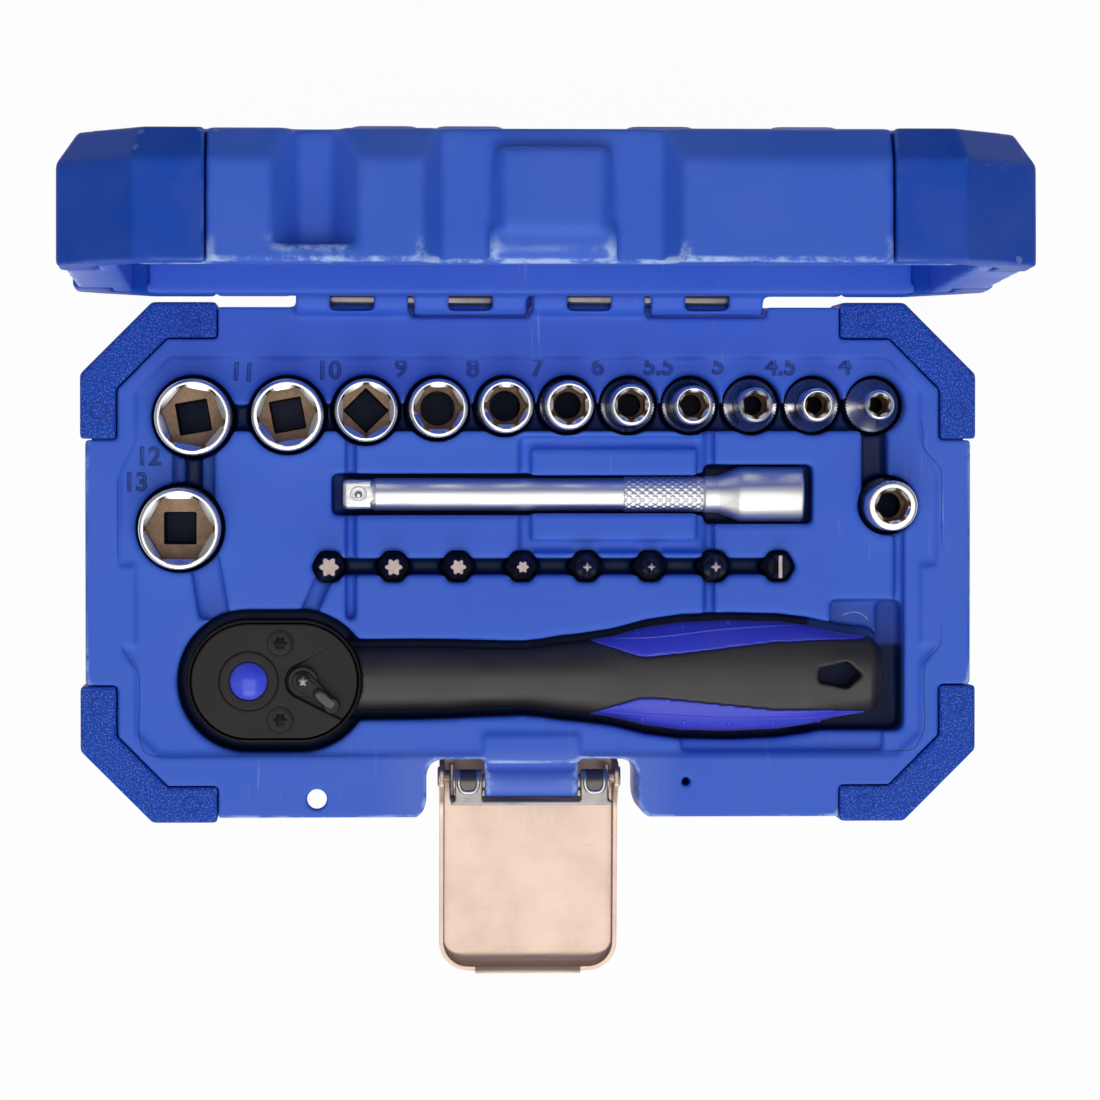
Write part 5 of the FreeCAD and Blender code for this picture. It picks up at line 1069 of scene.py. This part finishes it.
def turned(shape, rings, count, place=(0.0, 0.0, 0.0)):
    """Skin over outlines stacked along Z: extrude a ring of edges from each outline to the next.

    Gives the faces and the edges of each ring.
    """
    loops = []
    verts = bmesh.ops.create_circle(shape, segments=count, radius=1.0, cap_ends=False)["verts"]
    edges = list({edge for vert in verts for edge in vert.link_edges})
    made = []
    for height, outline in rings:
        faces = []
        if loops:
            grown = bmesh.ops.extrude_edge_only(shape, edges=edges)["geom"]
            verts = points_of(grown)
            edges = [part for part in grown if isinstance(part, bmesh.types.BMEdge)
                     and all(vert in verts for vert in part.verts)]
            faces = [part for part in grown if isinstance(part, bmesh.types.BMFace)]
        for vert in verts:
            angle = math.atan2(vert.co.y, vert.co.x) % (2 * math.pi)
            angle = round(angle * count / (2 * math.pi)) * 2 * math.pi / count
            reach = outline(angle)
            vert.co = Vector((reach * math.cos(angle), reach * math.sin(angle), height)) * MM
        loops.append((faces, edges))
        made += verts
    bmesh.ops.translate(shape, vec=Vector(place) * MM, verts=made)
    return loops


def capped(shape, *loops):
    """Close a turned skin at some of its rings and give the new faces."""
    return bmesh.ops.holes_fill(shape, edges=[edge for _, edges in loops for edge in edges], sides=0)["faces"]


def paint(loops, first, last, index):
    """Give the faces between two rings another material slot."""
    for faces, _ in loops[first + 1:last + 1]:
        for face in faces:
            face.material_index = index


SOCKET_LENGTH, FOOT_LENGTH, HEX_DEPTH, SQUARE_DEPTH = 25.0, 9.0, 10.0, 8.5
DRIVE_SQUARE, SMALL_FOOT, KNURL_TEETH = 6.47, 11.8, 48
# across flats, outer diameter, turn of the hexagon, and turn of the square where it is seen through the hexagon
SOCKETS = {
    "socket_13": (13.0, 17.7, 0.0, 0.0), "socket_12": (12.0, 16.5, -10.5, 10.0),
    "socket_11": (11.0, 15.6, 10.0, 10.6), "socket_10": (10.0, 13.6, 30.0, 45.0),
    "socket_9": (9.0, 12.7, 0.0, None), "socket_8": (8.0, 11.7, 0.0, None),
    "socket_7": (7.0, 10.6, 30.0, None), "socket_6": (6.0, 9.1, 30.0, None),
    "socket_5_5": (5.5, 8.4, -4.0, None), "socket_5": (5.0, 7.5, 34.0, None),
    "socket_4_5": (4.5, 7.3, 27.0, None), "socket_4": (4.0, 6.5, 24.0, None),
    "bit_adapter": (DRIVE_SQUARE, 10.9, 8.0, None),
}


def socket_shape(flats, outer, ring, turn, square_turn, rim):
    """Socket on its square end: knurled foot, plain body, polished rim, broached hexagon, and a near-black bore that is
    painted shade.
    """
    length, foot, seat = SOCKET_LENGTH, FOOT_LENGTH, SOCKET_LENGTH - HEX_DEPTH
    knurl = toothed(ring, 0.28, KNURL_TEETH)
    square = spun(square_hole(DRIVE_SQUARE, 0.97), square_turn or 0.0)
    lead = min(flats / 3 ** 0.5 + 0.25, outer - rim)
    hexagon = spun(hexagon_hole(flats), turn)
    rings = [
        (0.0, square), (0.0, circle(ring - 0.6)), (0.25, circle(ring - 0.3)), (0.9, circle(ring - 0.25)),
        (1.2, knurl), (foot - 0.35, knurl),
        (foot - 0.04, circle(max(ring - 0.62, outer + 0.02))), (foot, circle(max(ring - 0.70, outer + 0.01))),
        (foot + 2.1, circle(outer + 0.06)), (foot + 2.5, circle(outer)),
        (length - 0.75, circle(outer)), (length - 0.45, circle(outer - 0.07)), (length - 0.18, circle(outer - 0.24)),
        (length - 0.03, circle(outer - rim)), (length, circle((outer - rim + lead) / 2)),
        (length - 0.03, circle(lead)), (length - 0.7, hexagon), (seat, hexagon),
    ]
    hex_end = len(rings) - 1
    if square_turn is not None:
        rings += [(seat - 0.1, spun(square_hole(7.1, 0.97), square_turn)), (seat - 0.8, square)]
    else:
        bore = circle(flats * 0.42)
        rings += [(seat - 0.5, bore), (SQUARE_DEPTH, bore), (SQUARE_DEPTH - 0.1, square)]
    rings.append((0.0, square))
    shape = bmesh.new()
    loops = turned(shape, rings, 144)
    paint(loops, hex_end - 1, hex_end + 1, 1)
    # painted shade: the bore below the hexagon takes the near-black third finish
    paint(loops, hex_end + 1, len(rings) - 1, 2)
    return shape


def middle_of(node):
    """Middle of a CAD node in X and Y, and its lowest Z."""
    low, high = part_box(node)
    return Vector(((low[0] + high[0]) / 2, (low[1] + high[1]) / 2, low[2]))


class SOCKETSET_OT_sockets(bpy.types.Operator):
    """Build the sockets and the bit adapter"""
    bl_idname = "socket_set.sockets"
    bl_label = "Sockets"

    def execute(self, context):
        rim = settings()[1].rim_round / MM
        for node, (flats, outer, turn, square) in SOCKETS.items():
            ring = SMALL_FOOT if flats < 7.5 else outer + 0.5
            shape = socket_shape(flats, outer / 2, ring / 2, turn, square, rim)
            piece = show_shape(node + "_turned", shape, node, "satin_chrome", plain("satin_chrome"),
                               plain("broached_steel"), plain("bore_painted_shade"), sharp=32.0, place=at(middle_of(node)))
            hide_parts(node)
        return {"FINISHED"}


# The extension bar, with lengths in millimetres

BAR_SQUARE, BAR_RADIUS, END_RADIUS = 6.35, 3.55, 6.0
KNURL_START, KNURL_LENGTH, KNURL_STEPS = 61.4, 17.0, 60


def extension_shape():
    """Bar along Z from its square tip: square, shaft, knurl, neck, taper and socket end."""
    square = square_hole(BAR_SQUARE, 0.90)
    mouth = square_hole(DRIVE_SQUARE, 0.96)
    rings = [(0.0, square_hole(5.5, 0.90)), (0.35, square_hole(6.0, 0.90)), (0.9, square), (5.9, square)]
    rings += [(along, circle(radius)) for along, radius in (
        (6.5, 3.25), (6.9, 3.45), (7.4, BAR_RADIUS), (60.6, BAR_RADIUS), (61.0, 3.6), (61.3, 3.68))]
    for step in range(KNURL_STEPS + 1):
        along = KNURL_LENGTH * step / KNURL_STEPS
        rings.append((KNURL_START + along, diamond(3.9, 0.26, 18, 1.9, along)))
    rings += [(along, circle(radius)) for along, radius in (
        (78.6, 3.7), (78.9, 3.95), (79.3, 4.08), (81.6, 4.1), (82.2, 4.2), (86.0, 5.75), (86.6, 5.93),
        (87.3, END_RADIUS), (99.7, END_RADIUS), (100.2, 5.85), (100.5, 5.4))]
    rings += [(100.5, square_hole(7.1, 0.92)), (100.0, mouth), (92.0, mouth)]
    shape = bmesh.new()
    loops = turned(shape, rings, 128)
    # painted shade: the square mouth of the socket end takes the near-black second finish
    paint(loops, len(rings) - 3, len(rings) - 1, 1)
    capped(shape, loops[0], loops[-1])
    return shape


class SOCKETSET_OT_extension(bpy.types.Operator):
    """Build the knurled extension bar with its ball"""
    bl_idname = "socket_set.extension"
    bl_label = "Extension bar"

    def execute(self, context):
        chrome = plain("drawn_chrome")
        low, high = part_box("extension_bar")
        start = Vector((low[0], (low[1] + high[1]) / 2, (low[2] + high[2]) / 2))
        piece = show_shape("extension_turned", extension_shape(), "extension", "satin_chrome", chrome,
                           plain("bore_painted_shade"), sharp=34.0, place=at(start, 90.0, "Y"))
        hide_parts("extension_bar")
        for node in ("extension_ball", "extension_spring"):
            dress(node, plain("bright_wire"))

        ball = middle_of("extension_ball") / MM
        shape = bmesh.new()
        rings = [(-0.05, circle(1.22)), (0.10, circle(1.26)), (0.14, circle(1.5)), (0.10, circle(1.78)),
                 (-0.05, circle(1.84))]
        turned(shape, rings, 48, (ball.x, ball.y, start.z / MM + BAR_SQUARE / 2))
        show_shape("ball_rim", shape, "extension", "satin_chrome", chrome)
        return {"FINISHED"}


# The bits

BIT_FLATS, BIT_SHANK, BIT_POINT, BIT_TOP = 6.35, 17.5, 21.0, 25.0
BIT_TIPS = [
    ("bit_1", "lobe", 4.4), ("bit_2", "lobe", 3.9), ("bit_3", "lobe", 3.5), ("bit_4", "lobe", 2.7),
    ("bit_5", "cross", 5.0), ("bit_6", "cross", 4.2), ("bit_7", "cross", 5.6), ("bit_8", "slot", 5.0),
]


def bit_shape(kind, width):
    """Bit on its hexagon end; the working end is a second slot of bare steel."""
    flats, shank, point, top = BIT_FLATS, BIT_SHANK, BIT_POINT, BIT_TOP
    reach = width / 2
    body = hexagon_hole(flats, 0.965)
    rings = [
        (0.0, circle(2.4)), (0.5, hexagon_hole(flats * 0.94, 0.95)), (1.0, body), (shank - 0.6, body),
        (shank, hexagon_hole(flats * 0.95, 0.95)), (shank + 0.5, circle(2.85)),
        (point - 0.8, circle(max(reach * 0.9, 1.5))), (point - 0.2, circle(reach * 0.92)),
    ]
    bare = len(rings)
    if kind == "lobe":
        tip = lobed(reach, reach * 0.30, 6)
        rings += [(point + 0.4, tip), (top - 0.25, tip), (top, lobed(reach * 0.94, reach * 0.29, 6)),
                  (top, circle(reach * 0.3))]
        bare += 1
    elif kind == "cross":
        for height, share in ((0.3, 0.96), (1.4, 0.78), (2.6, 0.54), (3.4, 0.38), (3.85, 0.27)):
            rings.append((point + height, lobed(reach * share, reach * share * 0.45, 4)))
        rings.append((top, circle(reach * 0.06)))
        bare += 3
    else:
        for height, share, thick in ((-3.5, 1.0, 1.25), (-1.2, 1.0, 0.62), (-0.1, 0.99, 0.42), (0.0, 0.97, 0.34)):
            rings.append((top + height, spun(blade(reach * share, thick), 90.0)))
        bare += 2
    shape = bmesh.new()
    loops = turned(shape, rings, 96)
    paint(loops, bare, len(rings) - 1, 1)
    for face in capped(shape, loops[0], loops[-1]):
        face.material_index = 1 if face.calc_center_median().z > point * MM else 0
    return shape


class SOCKETSET_OT_bits(bpy.types.Operator):
    """Build the screwdriver bits"""
    bl_idname = "socket_set.bits"
    bl_label = "Bits"

    def execute(self, context):
        for node, kind, width in BIT_TIPS:
            piece = show_shape(node + "_turned", bit_shape(kind, width), node, "bit_steel", plain("black_oxide"),
                               plain("bare_tip"), sharp=28.0, place=at(middle_of(node)))
            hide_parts(node)
        return {"FINISHED"}


# The add-on

class SOCKETSET_PT_panel(bpy.types.Panel):
    """Pieces of the socket set in the sidebar of the 3D view"""
    bl_idname = "SOCKETSET_PT_panel"
    bl_label = "Socket Set"
    bl_space_type = "VIEW_3D"
    bl_region_type = "UI"
    bl_category = "Socket Set"

    def draw(self, context):
        for operator in PIECES:
            self.layout.operator(operator.bl_idname)
        for group in settings():
            for name in group.__annotations__:
                self.layout.prop(group, name)


PIECES = (
    SOCKETSET_OT_stage, SOCKETSET_OT_base, SOCKETSET_OT_lid, SOCKETSET_OT_numerals, SOCKETSET_OT_latch,
    SOCKETSET_OT_ratchet, SOCKETSET_OT_handle, SOCKETSET_OT_sockets, SOCKETSET_OT_extension, SOCKETSET_OT_bits,
)
CLASSES = (SocketSetCase, SocketSetTools, SocketSetStage) + PIECES + (SOCKETSET_PT_panel,)


def register():
    for part in CLASSES:
        bpy.utils.register_class(part)
    bpy.types.Scene.socket_set_case = PointerProperty(type=SocketSetCase)
    bpy.types.Scene.socket_set_tools = PointerProperty(type=SocketSetTools)
    bpy.types.Scene.socket_set_stage = PointerProperty(type=SocketSetStage)


def unregister():
    del bpy.types.Scene.socket_set_stage
    del bpy.types.Scene.socket_set_tools
    del bpy.types.Scene.socket_set_case
    for part in reversed(CLASSES):
        bpy.utils.unregister_class(part)


def main():
    register()
    for operator in PIECES:
        group, name = operator.bl_idname.split(".")
        getattr(getattr(bpy.ops, group), name)()


if __name__ == "__main__":
    main()
